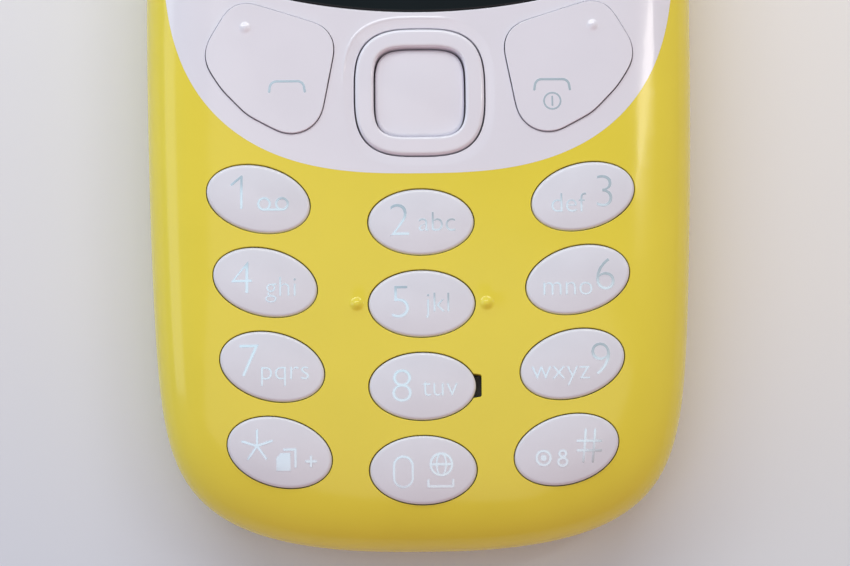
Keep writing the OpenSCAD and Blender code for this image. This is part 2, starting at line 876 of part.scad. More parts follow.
// Sound mesh behind the slots
module speaker_mesh() {
    color("#33363b")
        translate([-speaker_x - speaker_w / 2, camera_y - speaker_h / 2, rear_wall - room_gap])
            cube([speaker_w, speaker_h, mesh_t]);
}

// Frame that holds the board and the battery bay
module chassis() {
    bay_w = battery_w + 2 * room_gap;
    bay_l = battery_l + 2 * room_gap;
    bay_y = battery_y0 - room_gap;
    open_y = battery_y1 + room_gap + bay_wall;
    motor_slot_l = motor_l + weight_l + 4 * room_gap;
    color("#3a3d44")
        difference() {
            union() {
                translate([0, 0, plate_z])
                    linear_extrude(plate_t)
                        polygon(outline(half_w - frame_inset, half_l - frame_inset));
                translate([-bay_w / 2 - bay_wall, bay_y - bay_wall, battery_z + bay_lift])
                    cube([bay_w + 2 * bay_wall, bay_l + 2 * bay_wall, battery_t - bay_lift + room_gap]);
                for (p = boss_points)
                    translate([p.x, p.y, plate_z])
                        cylinder(d = boss_d + 2 * room_gap, h = plate_t);
                for (p = standoff_points)
                    translate([p.x, p.y, plate_z])
                        cylinder(d = standoff_d, h = under_board - plate_z);
            }
            translate([-bay_w / 2, bay_y, battery_z - over])
                cube([bay_w, bay_l, plate_z - battery_z + over]);
            translate([-contacts_w / 2 - 2 * room_gap, battery_y1 - over, battery_z - over])
                cube([contacts_w + 4 * room_gap, open_y - battery_y1 + 2 * over, body_t]);
            translate([-open_w / 2, open_y, plate_z - over])
                cube([open_w, half_l, plate_t + 2 * over]);
            for (p = boss_points)
                translate([p.x, p.y, plate_z - over])
                    cylinder(d = screw_d + 4 * seat_gap, h = plate_t + 2 * over);
            translate([motor_x + room_gap - motor_slot_l, motor_y - motor_d / 2 - room_gap, plate_z - over])
                cube([motor_slot_l, motor_d + 2 * room_gap, plate_t + 2 * over]);
        }
}

// Circuit board
module main_board() {
    color("#1f6b3a")
        difference() {
            translate([0, 0, board_z])
                linear_extrude(board_t)
                    polygon(outline(half_w - board_inset, half_l - board_inset));
            for (p = boss_points)
                translate([p.x, p.y, board_z - over])
                    cylinder(d = boss_d + 2 * room_gap, h = board_t + 2 * over);
            translate([jack_x - jack_w / 2 - room_gap, jack_mouth_y - jack_l - room_gap, board_z - over])
                cube([jack_w + 2 * room_gap, jack_l + 2 * over, board_t + 2 * over]);
        }
}

// Metal cans over the radio and the processor
module shield_cans() {
    color("#c4c7cb")
        for (i = [0, 1])
            translate([can_x(i), can_y, board_top])
                difference() {
                    cube([can_ws[i], can_l, can_h]);
                    translate([can_wall, can_wall, -over])
                        cube([can_ws[i] - 2 * can_wall, can_l - 2 * can_wall, can_h - can_wall + over]);
                }
}

// Chips inside the cans
module board_chips() {
    color("#2a2c30")
        for (i = [0, 1], b = chip_shares[i])
            translate([can_x(i) + can_ws[i] * b[0], can_y + can_l * b[1], board_top])
                cube([can_ws[i] * b[2], can_l * b[3], can_h / 2]);
}

// Socket for the display's flexible lead
module board_connector() {
    color("#d9d2c0")
        translate([-connector_w / 2, lcd_y0 - connector_gap, board_top])
            cube([connector_w, connector_l, connector_h]);
}

// Display panel, its backlight, the foam frame over it and its lead
module lcd_panel() {
    color("#26303a")
        translate([-lcd_w / 2, lcd_y0, lcd_z])
            cube([lcd_w, lcd_y1 - lcd_y0, lcd_t]);
}

module backlight() {
    color("#f2f2ec")
        translate([-lcd_w / 2, lcd_y0, backlight_z])
            cube([lcd_w, lcd_y1 - lcd_y0, backlight_t - seat_gap]);
}

module window_gasket() {
    w = lcd_w - 2 * gasket_w;
    y0 = lcd_y0 + gasket_w / 2;
    l = lcd_y1 - lcd_y0 - 3 / 2 * gasket_w;
    top = front_inner_z(w / 2, y0 + l) - room_gap / 2;
    color("#1b1b1d")
        difference() {
            translate([-w / 2, y0, lcd_top])
                cube([w, l, top - lcd_top]);
            translate([-w / 2 + gasket_w, y0 + gasket_w, lcd_top - over])
                cube([w - 2 * gasket_w, l - 2 * gasket_w, body_t]);
        }
}

module display_flex() {
    foot = board_top + connector_h;
    color("#c07a2c") {
        translate([-flex_w / 2, lcd_y0 - seat_gap - flex_t, foot])
            cube([flex_w, flex_t, lcd_z + lcd_t / 2 - foot]);
        translate([-flex_w / 2, lcd_y0 - connector_gap, foot])
            cube([flex_w, connector_gap - seat_gap, flex_t]);
    }
}

// Silicone mat under the key caps
module mat_plan(inset, top_y) {
    difference() {
        intersection() {
            polygon(outline(half_w - inset, half_l - inset));
            translate([-body_w, -body_l])
                square([2 * body_w, body_l + top_y]);
        }
        for (p = boss_points)
            translate(p)
                circle(d = boss_d + 2 * room_gap);
        translate([mic_x + mic_w / 2, key_y(0, 1)])
            square([mic_w + 2 * room_gap, mic_l + 2 * room_gap], center = true);
    }
}

module keypad_mat() {
    color("#d8dde2")
        translate([0, 0, mat_z])
            linear_extrude(mat_t)
                mat_plan(board_inset + film_inset, mat_y1);
}

// Film with the printed key contacts
module dome_film() {
    color("#cfd3b8")
        translate([0, 0, board_top])
            linear_extrude(film_t)
                difference() {
                    mat_plan(board_inset + 2 * film_inset, film_y1);
                    for (p = led_points)
                        translate(p)
                            square(led_size + [trim_gap, trim_gap] * 2, center = true);
                }
}

// Metal domes that click under the keys
module key_domes() {
    ring_r = (ring_w + select_w) / 4;
    number_places = [for (c = [-1:1], r = [0:3]) [key_x(c, r), key_y(c, r)]];
    small_places = concat(
        [for (side = [-1, 1], lobe = [function_lobes[0], function_lobes[2]])
            [side * (function_x + lobe.x), nav_y + function_rise + lobe.y]],
        [[0, nav_y]],
        [for (a = [0:90:270]) [0, nav_y] + ring_r * [cos(a), sin(a)]]
    );
    color("#d4b25a")
        translate([0, 0, film_top]) {
            for (p = number_places)
                translate(p)
                    cylinder(d1 = dome_d, d2 = dome_d / 2, h = dome_h);
            for (p = small_places)
                translate(p)
                    cylinder(d1 = small_dome_d, d2 = small_dome_d / 2, h = dome_h);
        }
}

// Lamps that light the keypad
module keypad_leds() {
    color("#f4f1d8")
        for (p = led_points)
            translate([p.x, p.y, board_top])
                linear_extrude(film_t + dome_h)
                    square(led_size, center = true);
}

// Battery pack
module battery() {
    r = battery_t / 2;
    color("#4a4d55")
        translate([0, 0, battery_z])
            intersection() {
                translate([-battery_w / 2, battery_y0, 0])
                    cube([battery_w, battery_l, battery_t]);
                union() {
                    translate([-battery_w / 2 + r, battery_y0, 0])
                        cube([battery_w - battery_t, battery_l, battery_t]);
                    for (side = [-1, 1])
                        translate([side * (battery_w / 2 - r), battery_y0, r])
                            rotate([-90, 0, 0])
                                cylinder(r = r, h = battery_l);
                }
            }
}

// Block of sprung contacts at the battery's top end
module battery_contacts() {
    y = battery_y1 + room_gap / 2;
    z = battery_z + contacts_rise;
    color("#26282c")
        translate([-contacts_w / 2, y, z])
            cube([contacts_w, contacts_l, under_board - z]);
    color("#d4b25a")
        for (i = [-1:1])
            translate([i * pin_pitch - pin_w / 2, y + contacts_l, z])
                cube([pin_w, pin_t, under_board - z]);
}

// Metal holders for the subscriber card and the memory card, under the board
module card_holder(x, w, l) {
    translate([x, holder_y, under_board - holder_t])
        difference() {
            cube([w, l, holder_t]);
            translate([card_edge, -over, card_floor])
                cube([w - 2 * card_edge, l, card_t]);
            translate([w / 4, l / 6, -over])
                cube([w / 2, l * 2 / 3, over + card_floor + card_t / 2]);
        }
}

module sim_holder() {
    color("#c4c7cb")
        card_holder(sim_x, sim_w, sim_l);
}

module memory_card_holder() {
    color("#b4b7bb")
        card_holder(memory_x, memory_w, memory_l);
}

// Data socket in the top edge
module usb_socket() {
    color("#a9acb0")
        translate([-usb_x - usb_w / 2, usb_mouth_y - usb_l, under_board - usb_h]) {
            difference() {
                cube([usb_w, usb_l, usb_h]);
                translate([usb_wall, usb_wall, usb_wall])
                    cube([usb_w - 2 * usb_wall, usb_l, usb_h - 2 * usb_wall]);
            }
            translate([usb_w / 4, usb_wall / 2, usb_h / 2])
                cube([usb_w / 2, usb_l - usb_wall - over, tongue_t]);
        }
}

// Headset socket in the top edge
module audio_jack() {
    color("#202226")
        difference() {
            union() {
                translate([jack_x - jack_w / 2, jack_mouth_y - jack_l, jack_z - jack_nose_d / 2])
                    cube([jack_w, jack_l - jack_nose_l, jack_nose_d]);
                translate([jack_x, jack_mouth_y, jack_z])
                    rotate([90, 0, 0])
                        cylinder(d = jack_nose_d, h = jack_l);
            }
            translate([jack_x, jack_mouth_y + over, jack_z])
                rotate([90, 0, 0])
                    cylinder(d = jack_bore, h = jack_depth + over);
        }
}

// Loudspeaker box and its foam gasket, facing the back
module loudspeaker() {
    color("#3c3f45")
        difference() {
            translate([-speaker_x - speaker_w / 2, camera_y - speaker_h / 2, speaker_z])
                cube([speaker_w, speaker_h, under_board - speaker_z]);
            translate([-speaker_x, camera_y, speaker_z - over])
                cylinder(d = speaker_h - cone_inset, h = over + cone_depth);
        }
}

module speaker_gasket() {
    w = speaker_w - 2 * gasket_w;
    h = speaker_h - 2 * gasket_w;
    color("#17181a")
        translate([-speaker_x, camera_y, rear_wall + 3 / 2 * room_gap])
            linear_extrude(3 / 2 * room_gap - seat_gap)
                difference() {
                    square([w, h], center = true);
                    square([w - 2 * gasket_w, h - 2 * gasket_w], center = true);
                }
}

// Earpiece receiver under its slot
module earpiece_receiver() {
    top = front_inner_z(earpiece_w / 2, earpiece_y + receiver_l / 2) - room_gap;
    color("#6a6d72")
        translate([-earpiece_w / 2, earpiece_y - receiver_l / 2, board_top])
            cube([earpiece_w, receiver_l, top - board_top]);
}

// Microphone and the rubber boot that leads to its notch
module microphone() {
    color("#c9a646")
        translate([mic_x, key_y(0, 1) - mic_l / 2, board_top])
            cube([mic_w, mic_l, mic_t]);
}

module microphone_boot() {
    top = front_inner_z(mic_x + mic_w, key_y(0, 1)) - room_gap / 2;
    color("#1d1e20")
        difference() {
            translate([mic_x, key_y(0, 1) - mic_l / 2, board_top + mic_t])
                cube([mic_w, mic_l, top - board_top - mic_t]);
            translate([mic_x + mic_w / 2, key_y(0, 1), board_top])
                cylinder(d = mic_bore, h = body_t);
        }
}

// Vibration motor with its off-centre weight, in the bottom end under the board
module vibration_motor() {
    color("#b8bbc0") {
        translate([motor_x, motor_y, motor_z])
            rotate([0, -90, 0])
                cylinder(d = motor_d, h = motor_l);
        translate([motor_x - motor_l, motor_y, motor_z])
            rotate([0, -90, 0])
                cylinder(d = shaft_d, h = room_gap + weight_l);
    }
}

module vibration_weight() {
    r = motor_d / 2 - weight_inset;
    color("#7d8086")
        translate([motor_x - motor_l - room_gap, motor_y, motor_z])
            rotate([0, -90, 0])
                difference() {
                    union() {
                        cylinder(d = shaft_d + 2 * (shaft_gap + hub_wall), h = weight_l);
                        intersection() {
                            cylinder(r = r, h = weight_l);
                            translate([-2 * r, -r, 0])
                                cube([2 * r, 2 * r, weight_l]);
                        }
                    }
                    translate([0, 0, -over])
                        cylinder(d = shaft_d + 2 * shaft_gap, h = weight_l + 2 * over);
                }
}

// Camera module behind its window
module camera_module() {
    w = camera_module_w;
    z = rear_wall + 3 * room_gap;
    color("#2b2d33") {
        translate([-w / 2, camera_y - w / 2, z + lens_l])
            cube([w, w, under_board - z - lens_l]);
        translate([0, camera_y, z])
            difference() {
                cylinder(d = camera_d - camera_rim, h = lens_l + seat_gap);
                translate([0, 0, -lens_l])
                    cylinder(d1 = lens_ds[0], d2 = lens_ds[1], h = 3 / 2 * lens_l);
            }
    }
}

// Antenna carrier in the bottom end, under the frame
module antenna() {
    color("#8a6f3a")
        translate([antenna_x, motor_y - antenna_l / 2, plate_z - antenna_h])
            cube([antenna_w, antenna_l, antenna_h - seat_gap]);
}

// Six screws from the back through the frame into the bosses
module screws() {
    color("#8f9297")
        for (p = boss_points)
            translate([p.x, p.y, plate_z - screw_head_h - seat_gap])
                difference() {
                    union() {
                        cylinder(d = screw_head_d, h = screw_head_h);
                        cylinder(d = screw_d, h = screw_head_h + screw_l);
                    }
                    translate([0, 0, -over])
                        cylinder(d = screw_d, h = over + screw_head_h / 2, $fn = 6);
                }
}

rear_cover();
camera_bezel();
camera_window();
speaker_mesh();
front_cover();
upper_fascia();
display_window();
earpiece_mesh();
key_1();
key_2();
key_3();
key_4();
key_5();
key_6();
key_7();
key_8();
key_9();
key_star();
key_0();
key_hash();
left_function_key();
right_function_key();
nav_ring();
nav_rocker();
select_key();
chassis();
main_board();
shield_cans();
board_chips();
board_connector();
lcd_panel();
backlight();
window_gasket();
display_flex();
keypad_mat();
dome_film();
key_domes();
keypad_leds();
battery();
battery_contacts();
sim_holder();
memory_card_holder();
usb_socket();
audio_jack();
loudspeaker();
speaker_gasket();
earpiece_receiver();
microphone();
microphone_boot();
vibration_motor();
vibration_weight();
camera_module();
antenna();
screws();
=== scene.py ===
import json
import math

import bmesh
import bpy
import numpy as np
from mathutils import Euler, Matrix, Vector
from mathutils.geometry import delaunay_2d_cdt
from mathutils.kdtree import KDTree


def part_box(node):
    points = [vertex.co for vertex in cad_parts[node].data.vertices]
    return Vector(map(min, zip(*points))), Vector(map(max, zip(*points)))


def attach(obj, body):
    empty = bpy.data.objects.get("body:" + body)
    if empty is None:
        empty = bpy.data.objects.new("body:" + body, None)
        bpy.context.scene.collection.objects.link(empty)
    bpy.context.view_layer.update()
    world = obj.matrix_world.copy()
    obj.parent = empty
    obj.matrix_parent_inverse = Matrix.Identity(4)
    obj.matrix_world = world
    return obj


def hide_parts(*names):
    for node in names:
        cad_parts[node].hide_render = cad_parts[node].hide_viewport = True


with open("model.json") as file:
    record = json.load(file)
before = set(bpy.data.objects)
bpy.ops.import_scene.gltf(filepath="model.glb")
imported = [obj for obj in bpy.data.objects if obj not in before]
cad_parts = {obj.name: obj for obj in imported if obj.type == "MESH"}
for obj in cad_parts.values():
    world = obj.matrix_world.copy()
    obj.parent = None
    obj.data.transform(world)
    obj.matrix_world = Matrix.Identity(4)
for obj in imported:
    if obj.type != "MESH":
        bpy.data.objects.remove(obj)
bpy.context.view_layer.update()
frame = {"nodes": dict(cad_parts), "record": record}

MM = 0.001

# Body, in millimetres, with +Z out of the front and +Y to the earpiece end
BODY_W = 51.0
BODY_L = 115.6
SEAM_Z = 6.0
FRONT_H = 6.4
REAR_H = 6.3
SIDE_DRAW = 2.5
SIDE_POWER = 2.5
END_POWER = 13.5
CROWN_POWER = 8.0
EDGE_POWER = 2.5
FRONT_WALL = 1.2
REAR_WALL = 1.1
SEAM_GAP = 0.1
TRIM_GAP = 0.08
HALF_W = BODY_W / 2
HALF_L = BODY_L / 2

# White panel, display window and earpiece slot
PANEL_W = 47.1
PANEL_Y0 = -24.08
PANEL_Y1 = 55.0
PANEL_POWER = 2.75
WINDOW_W = 39.6
WINDOW_Y0 = -9.03
WINDOW_Y1 = 45.8
WINDOW_END_R = 57.0
WINDOW_CORNER = 3.0
EARPIECE_W = 9.0
EARPIECE_H = 1.4
EARPIECE_Y = 49.0

# Number keys
KEY_W = 9.499
KEY_H = 6.0
KEY_X = 12.75
KEY_SPLAY = 0.62
KEY_Y = -50.7
KEY_PITCH = 7.39
KEY_RISE = 1.7
KEY_FAN = 0.18
KEY_TILT = 15.2
KEY_GAP = 0.08
KEY_PROUD = 0.32
KEY_ALONG_R = 36.0
KEY_ACROSS_R = 15.0
KEY_EDGE_R = 0.25
KEY_BASE_Z = 8.4015
LIP_W = 0.35
LIP_T = 0.4
BUMP_R = 0.72
BUMP_H = 0.3
BUMP_GAP = 1.05
MIC_NOTCH_W = 0.42
MIC_NOTCH_H = 2.0
MIC_MESH_DEPTH = 1.0
MIC_MESH_T = 0.5
MIC_MESH_GAP = 0.02

# Navigation ring, select key and function keys
NAV_Y = -16.58
RING_W = 11.7
RING_POWER = 3.1
RING_PROUD = 0.38
RING_CROWN_R = 90.0
RING_BASE_Z = 9.5015
RING_EDGE_R = 0.3
RING_HOLE_R = 0.28
SELECT_W = 8.1
SELECT_POWER = 4.2
SELECT_SINK = 0.53
SELECT_EDGE_R = 0.3
SELECT_CROWN_R = 36.0
TILT_GAP = 0.125
FUNCTION_X = 13.515
FUNCTION_RISE = 2.0
FUNCTION_PROUD = 0.2
FUNCTION_EDGE_R = 0.06
FUNCTION_GAP = 0.08
FUNCTION_BLEND = 7
DOT_R = 0.62
DOT_H = 0.16
DOT_X = 15.8
DOT_Y = -10.5
SIGN_X = 12.0
HANDSET_Y = -16.0
POWER_Y = -17.55
FUNCTION_LOBES = (
    (2.244, 4.08, 2.3205),
    (-3.2385, 2.091, 2.5245),
    (-1.9125, -2.8815, 2.8815),
    (2.958, 1.6575, 2.958),
    (-0.153, -0.9945, 3.6975),
    (2.244, 0.0765, 2.703),
)
DISH_SLOPE = 0.14
DISH_CREST = 1.08
DISH_POWER = 1.5
BEAD_H = 0.05
BEAD_HALF = 0.2
BEAD_MIDDLE = 118.0
BEAD_REACH = 58.0
BEAD_FADE = 3

# Ports, and the back's openings
JACK_X = 13.0
JACK_Z = 5.6315
JACK_R = 3.0
USB_X = -11.0
USB_HALF_W = 4.15
USB_TOP_Z = 7.1515
USB_LOW_Z = 3.7515
NOTCH_AT = (19.2, -54.2)
NOTCH_HALF_L = 3.5
NOTCH_Z = 5.0
CAMERA_Y = 41.0
CAMERA_HOLE_R = 4.98
SLOT_X = -11.6
SLOT_PITCH = 2.0
SLOT_W = 0.9
SLOT_L = 6.0
SLOTS_BESIDE = 2
POCKET_W = 13.16
POCKET_H = 9.16
POCKET_Z = 0.8
POCKET_POWER = 30
TAB_YS = (20.0, -16.0)
TAB_L = 5.0
TAB_T = 0.8
TAB_Z0 = 2.6
TAB_Z1 = 7.2
TAB_CLEAR = 1.5
TAB_EDGE_R = 0.15
TAB_POWER = 12

# Rounding at the edges of moulded openings, and legend print
PANEL_GAP = 0.004
WINDOW_EDGE_R = 0.1
HOLE_EDGE_R = 0.06
INK_RISE = 0.01
INK_SINK = 0.05
INK_STEP = 0.002
INK_STROKE = 0.2
FINE_STROKE = 0.15
HANDSET_STROKE = 0.21
INK_SIDE = 0.25
INK_MESH = 0.3
DIGIT_H = 2.88
ASCENDER_H = 1.7
DIGIT_THIN = 0.02
LETTER_THIN = 0.014

# Fineness of the meshes: points round loops, steps in millimetres and shares of a radius
RIM_POINTS = 4000
RIM_CROWDING = 8
RIM_STATIONS = 360
EDGE_STATIONS = 330
EDGE_NEAR = 0.86
EDGE_STEP = 0.5
CUT_STEP = 0.01
PANEL_POINTS = 420
WINDOW_POINTS = 300
FUNCTION_POINTS = 150
KEY_POINTS = 110
RING_POINTS = 140
CREST_POINTS = 160
CREST_ROWS = 9
ARC_POINTS = 6001
HALVINGS = 44
NEAR_REACH = 1.3
FAR_REACH = 2.0
FILLET_SHARES = (0.0, 0.06, 0.2, 0.42, 0.7, 1.0, 1.35)
SUPPORT_STEPS = (0.05, 0.15, 0.35)
BUMP_SHARES = (1.0, 0.86, 0.72, 0.58, 0.44, 0.3, 0.14)
CLEAR_SHARE = 0.6
MEET = 1e-7
WELD = 1e-3
SHARP_ANGLE = 38


# Plan outlines


def signed_power(v, p):
    return np.sign(v) * np.abs(v) ** p


def plan(w, l, shares):
    """Points on the body's outline for half sizes w and l."""
    across, along = shares[:, 0], shares[:, 1]
    return np.column_stack([across * (w - SIDE_DRAW * along**2), l * along])


def lengths(loop):
    """Distance round a closed loop at each point, and all the way round."""
    steps = np.linalg.norm(np.roll(loop, -1, 0) - loop, axis=1)
    return np.concatenate([[0], np.cumsum(steps)])


def dense_rim():
    """Close-set (across, along) shares once round the outline, from +X."""
    turn = np.linspace(0, 1, RIM_POINTS) ** RIM_CROWDING * math.pi / 2
    quarter = np.column_stack([np.cos(turn) ** (2 / SIDE_POWER), np.sin(turn) ** (2 / END_POWER)])
    back = quarter[::-1]
    rounds = [quarter, back[1:] * [-1, 1], quarter[1:] * [-1, -1], back[1:-1] * [1, -1]]
    return np.concatenate(rounds)


def at_stations(loop, values, stations):
    """Values interpolated at distances round a closed loop."""
    run = lengths(loop)
    closed = np.concatenate([values, values[:1]])
    return np.column_stack([np.interp(stations, run, closed[:, i]) for i in range(closed.shape[1])])


def even(loop, count):
    """A closed loop again, as evenly spaced points."""
    run = lengths(loop)[-1]
    return at_stations(loop, loop, np.arange(count) * run / count)


def squircle(w, h, p, count, turn=0.0, at=(0.0, 0.0)):
    """Oval (power 2) or rounded square, turned and placed."""
    t = np.linspace(0, 2 * math.pi, 4 * count, endpoint=False)
    x = w / 2 * signed_power(np.cos(t), 2 / p)
    y = h / 2 * signed_power(np.sin(t), 2 / p)
    loop = even(np.column_stack([x, y]), count)
    c, s = math.cos(turn), math.sin(turn)
    return loop @ np.array([[c, s], [-s, c]]) + np.array(at)


def arc(cx, cy, r, start, stop, count):
    """Points along an arc, angles in degrees."""
    t = np.radians(np.linspace(start, stop, count))
    return np.column_stack([cx + r * np.cos(t), cy + r * np.sin(t)])


def stadium(w, h, at, count):
    """Slot with round ends, lying along its longer side."""
    r = min(w, h) / 2
    reach = max(w, h) / 2 - r
    ends = [arc(reach, 0, r, -90, 90, count), arc(-reach, 0, r, 90, 270, count)]
    loop = np.concatenate(ends)
    if h > w:
        loop = loop[:, ::-1] * [-1, 1]
    return loop + np.array(at)


def hull(points):
    """Convex outline of points, counter-clockwise."""
    order = sorted(map(tuple, points))

    def half(run):
        chain = []
        for p in run:
            while len(chain) > 1:
                a, b = chain[-2], chain[-1]
                if (b[0] - a[0]) * (p[1] - a[1]) - (b[1] - a[1]) * (p[0] - a[0]) > 0:
                    break
                chain.pop()
            chain.append(p)
        return chain[:-1]

    return np.array(half(order) + half(order[::-1]))


def offset(loop, d):
    """A counter-clockwise loop moved outwards by d."""
    ahead = np.roll(loop, -1, 0) - loop
    ahead /= np.linalg.norm(ahead, axis=1)[:, None]
    behind = np.roll(ahead, 1, 0)
    along = ahead + behind
    along /= np.linalg.norm(along, axis=1)[:, None]
    out = np.column_stack([along[:, 1], -along[:, 0]])
    lean = np.clip((along * ahead).sum(1), 0.5, 1)
    return loop + out * (d / lean)[:, None]


def inside(points, loop):
    """Which points lie inside a closed loop."""
    x, y = points[:, 0], points[:, 1]
    hit = np.zeros(len(points), bool)
    for (x0, y0), (x1, y1) in zip(loop, np.roll(loop, -1, 0)):
        if y0 != y1:
            hit ^= ((y0 > y) != (y1 > y)) & (x < x0 + (y - y0) * (x1 - x0) / (y1 - y0))
    return hit


RIM = dense_rim()
RIM_XY = plan(HALF_W, HALF_L, RIM)


def top_station(x):
    """Distance round the rim to a place on the top end."""
    run = lengths(RIM_XY)[:-1]
    top = (RIM[:, 1] > 0.9) & (np.abs(RIM_XY[:, 0]) < HALF_W - 3)
    return np.interp(-x, -RIM_XY[top, 0], run[top])


def half_width(y):
    """Half the body's width at a place along it."""
    share = abs(y) / HALF_L
    return (HALF_W - SIDE_DRAW * share**2) * (1 - share**END_POWER) ** (1 / SIDE_POWER)


def panel_plan(gap):
    """The white panel: the body's outline above, a rounder curve below."""
    w = PANEL_W / 2 + gap
    upper = plan(w, PANEL_Y1 + gap, RIM)
    upper = upper[RIM[:, 1] >= 0]
    t = np.linspace(math.pi, 2 * math.pi, 800)[1:-1]
    x = w * signed_power(np.cos(t), 2 / PANEL_POWER)
    y = (gap - PANEL_Y0) * signed_power(np.sin(t), 2 / PANEL_POWER)
    first = np.argmax(upper[:, 0])
    loop = np.concatenate([np.roll(upper, -first, 0), np.column_stack([x, y])])
    return even(loop, PANEL_POINTS)


def window_plan(gap):
    """The display window: bowed ends and round corners."""
    r = WINDOW_CORNER + gap
    side = WINDOW_W / 2 - WINDOW_CORNER
    lean = math.degrees(math.asin(side / (WINDOW_END_R - WINDOW_CORNER)))
    drop = math.sqrt((WINDOW_END_R - WINDOW_CORNER) ** 2 - side**2)
    y0 = WINDOW_Y0 + WINDOW_END_R
    y1 = WINDOW_Y1 - WINDOW_END_R
    big = WINDOW_END_R + gap
    parts = [
        arc(0, y0, big, -90 - lean, -90 + lean, 120),
        arc(side, y0 - drop, r, -90 + lean, 0, 40),
        arc(side, y1 + drop, r, 0, 90 - lean, 40),
        arc(0, y1, big, 90 - lean, 90 + lean, 120),
        arc(-side, y1 + drop, r, 90 + lean, 180, 40),
        arc(-side, y0 - drop, r, 180, 270 - lean, 40),
    ]
    return even(np.concatenate(parts), WINDOW_POINTS)


def function_plan(side, gap):
    """A function key's outline: the hull of its lobes, its corners blended."""
    lobes = [
        arc(side * (FUNCTION_X + x), NAV_Y + FUNCTION_RISE + y, r + gap, 0, 360, 97)
        for x, y, r in FUNCTION_LOBES
    ]
    loop = even(hull(np.concatenate(lobes)), FUNCTION_POINTS)
    for _ in range(FUNCTION_BLEND):
        loop = (np.roll(loop, 1, 0) + 2 * loop + np.roll(loop, -1, 0)) / 4
    return loop


def ring_plan(grow, count):
    """The navigation ring's outline, grown all round."""
    w = RING_W + 2 * grow
    return squircle(w, w, RING_POWER, count, at=(0, NAV_Y))


def key_place(c, r):
    """Centre of a number key: column -1, 0 or 1 and row 0 at the bottom."""
    rise = KEY_RISE + KEY_FAN * r if c else 0
    return c * (KEY_X + KEY_SPLAY * r), KEY_Y + KEY_PITCH * r + rise


def key_plan(c, r, grow):
    """A number key's oval, grown all round."""
    w, h = KEY_W + 2 * grow, KEY_H + 2 * grow
    return squircle(w, h, 2, KEY_POINTS, math.radians(c * KEY_TILT), key_place(c, r))


def mic_hole():
    """Key 8's hole with the microphone slot beside it."""
    loop = key_plan(0, 1, KEY_GAP)
    x1 = KEY_W / 2 + KEY_GAP + MIC_NOTCH_W
    y = key_place(0, 1)[1]
    r = MIC_NOTCH_W / 2
    low, high = y - MIC_NOTCH_H / 2, y + MIC_NOTCH_H / 2
    kept = loop[(loop[:, 0] < 0) | (np.abs(loop[:, 1] - y) > MIC_NOTCH_H / 2)]
    turned = np.roll(kept, -np.argmax(np.arctan2(kept[:, 1] - y, kept[:, 0]) > 0), 0)
    slot = [arc(x1 - r, low + r, r, -90, 0, 8), arc(x1 - r, high - r, r, 0, 90, 8)]
    return np.concatenate([turned, *slot])


# Surfaces that plans are lifted on to


class Dome:
    """Crowned half of the body, unrolled so that distances from the centre are true."""

    def __init__(self, w, l, h, z0, up, floor=None, dish=None):
        self.w, self.l, self.h, self.z0, self.up = w, l, h, z0, up
        self.floor, self.dish = floor, dish
        a = np.linspace(math.pi / 2, 0, ARC_POINTS)
        self.share = np.cos(a) ** (2 / CROWN_POWER)
        self.share[0] = 0
        self.rise = np.sin(a) ** (2 / EDGE_POWER)
        steps = np.hypot(np.diff(self.share), np.diff(self.rise) * h / w)
        self.arc = np.concatenate([[0], np.cumsum(steps)])

    def reach(self, p, most):
        """How far out points lie: 0 at the centre and 1 on the outline."""
        x, y = np.abs(p[:, 0]), np.abs(p[:, 1])
        low = np.maximum(np.maximum(x / self.w, y / self.l), 1e-4)
        high = np.full(len(p), most)
        for _ in range(HALVINGS):
            mid = (low + high) / 2
            along = np.minimum(y / (mid * self.l), 1)
            across = x / (mid * (self.w - SIDE_DRAW * along**2))
            out = across**SIDE_POWER + along**END_POWER > 1
            low = np.where(out, mid, low)
            high = np.where(out, high, mid)
        return (low + high) / 2

    def flat(self, xy):
        s = self.reach(xy, NEAR_REACH)
        return xy * (np.interp(s, self.share, self.arc) / s)[:, None]

    def lift(self, p):
        g = self.reach(p, FAR_REACH)
        xy = p * (np.interp(g, self.arc, self.share) / g)[:, None]
        z = self.z0 + self.up * self.h * np.interp(g, self.arc, self.rise)
        if self.floor is not None:
            z = np.maximum(z, self.floor)
        if self.dish is not None:
            z = z - self.dish(xy)
        return np.column_stack([xy, z])

    def over(self, xy):
        """Points of the surface over a plan."""
        return self.lift(self.flat(xy))

    def rim(self, shares, z):
        """Plan of a loop round the surface at heights z."""
        level = np.clip((z - self.z0) * self.up / self.h, 0, 1)
        s = np.cos(np.arcsin(level ** (EDGE_POWER / 2))) ** (2 / CROWN_POWER)
        return s[:, None] * plan(self.w, self.l, shares)

    def edge_points(self, shares, near, step):
        """Points in rows along the curved edge, in the unrolled plane."""
        most = self.arc[-1]
        rows = np.arange(near, most - step / (2 * self.w), step / self.w)
        outline = plan(self.w, self.l, shares)
        return np.concatenate([outline * g for g in rows])


def front_slope(x, y):
    """Height of the front at a place, and its slopes along X and Y."""
    d = 0.5
    z = FRONT.over(np.array([[x, y], [x + d, y], [x - d, y], [x, y + d], [x, y - d]]))[:, 2]
    return z[0], np.array([z[1] - z[2], z[3] - z[4]]) / (2 * d)


class Plain:
    """Upward surface over a plan that needs no unrolling."""

    up = 1

    def flat(self, xy):
        return xy

    def over(self, xy):
        return self.lift(xy)


class Ball(Plain):
    """Large ball that caps a key, its top a given height over the front."""

    def __init__(self, x, y, r, raise_by):
        height, slope = front_slope(x, y)
        out = np.array([*-slope, 1])
        self.r = r
        self.centre = np.array([x, y, height + raise_by]) - r * out / np.linalg.norm(out)

    def lift(self, p):
        away = p - self.centre[:2]
        z = self.centre[2] + np.sqrt(self.r**2 - (away**2).sum(1))
        return np.column_stack([p, z])


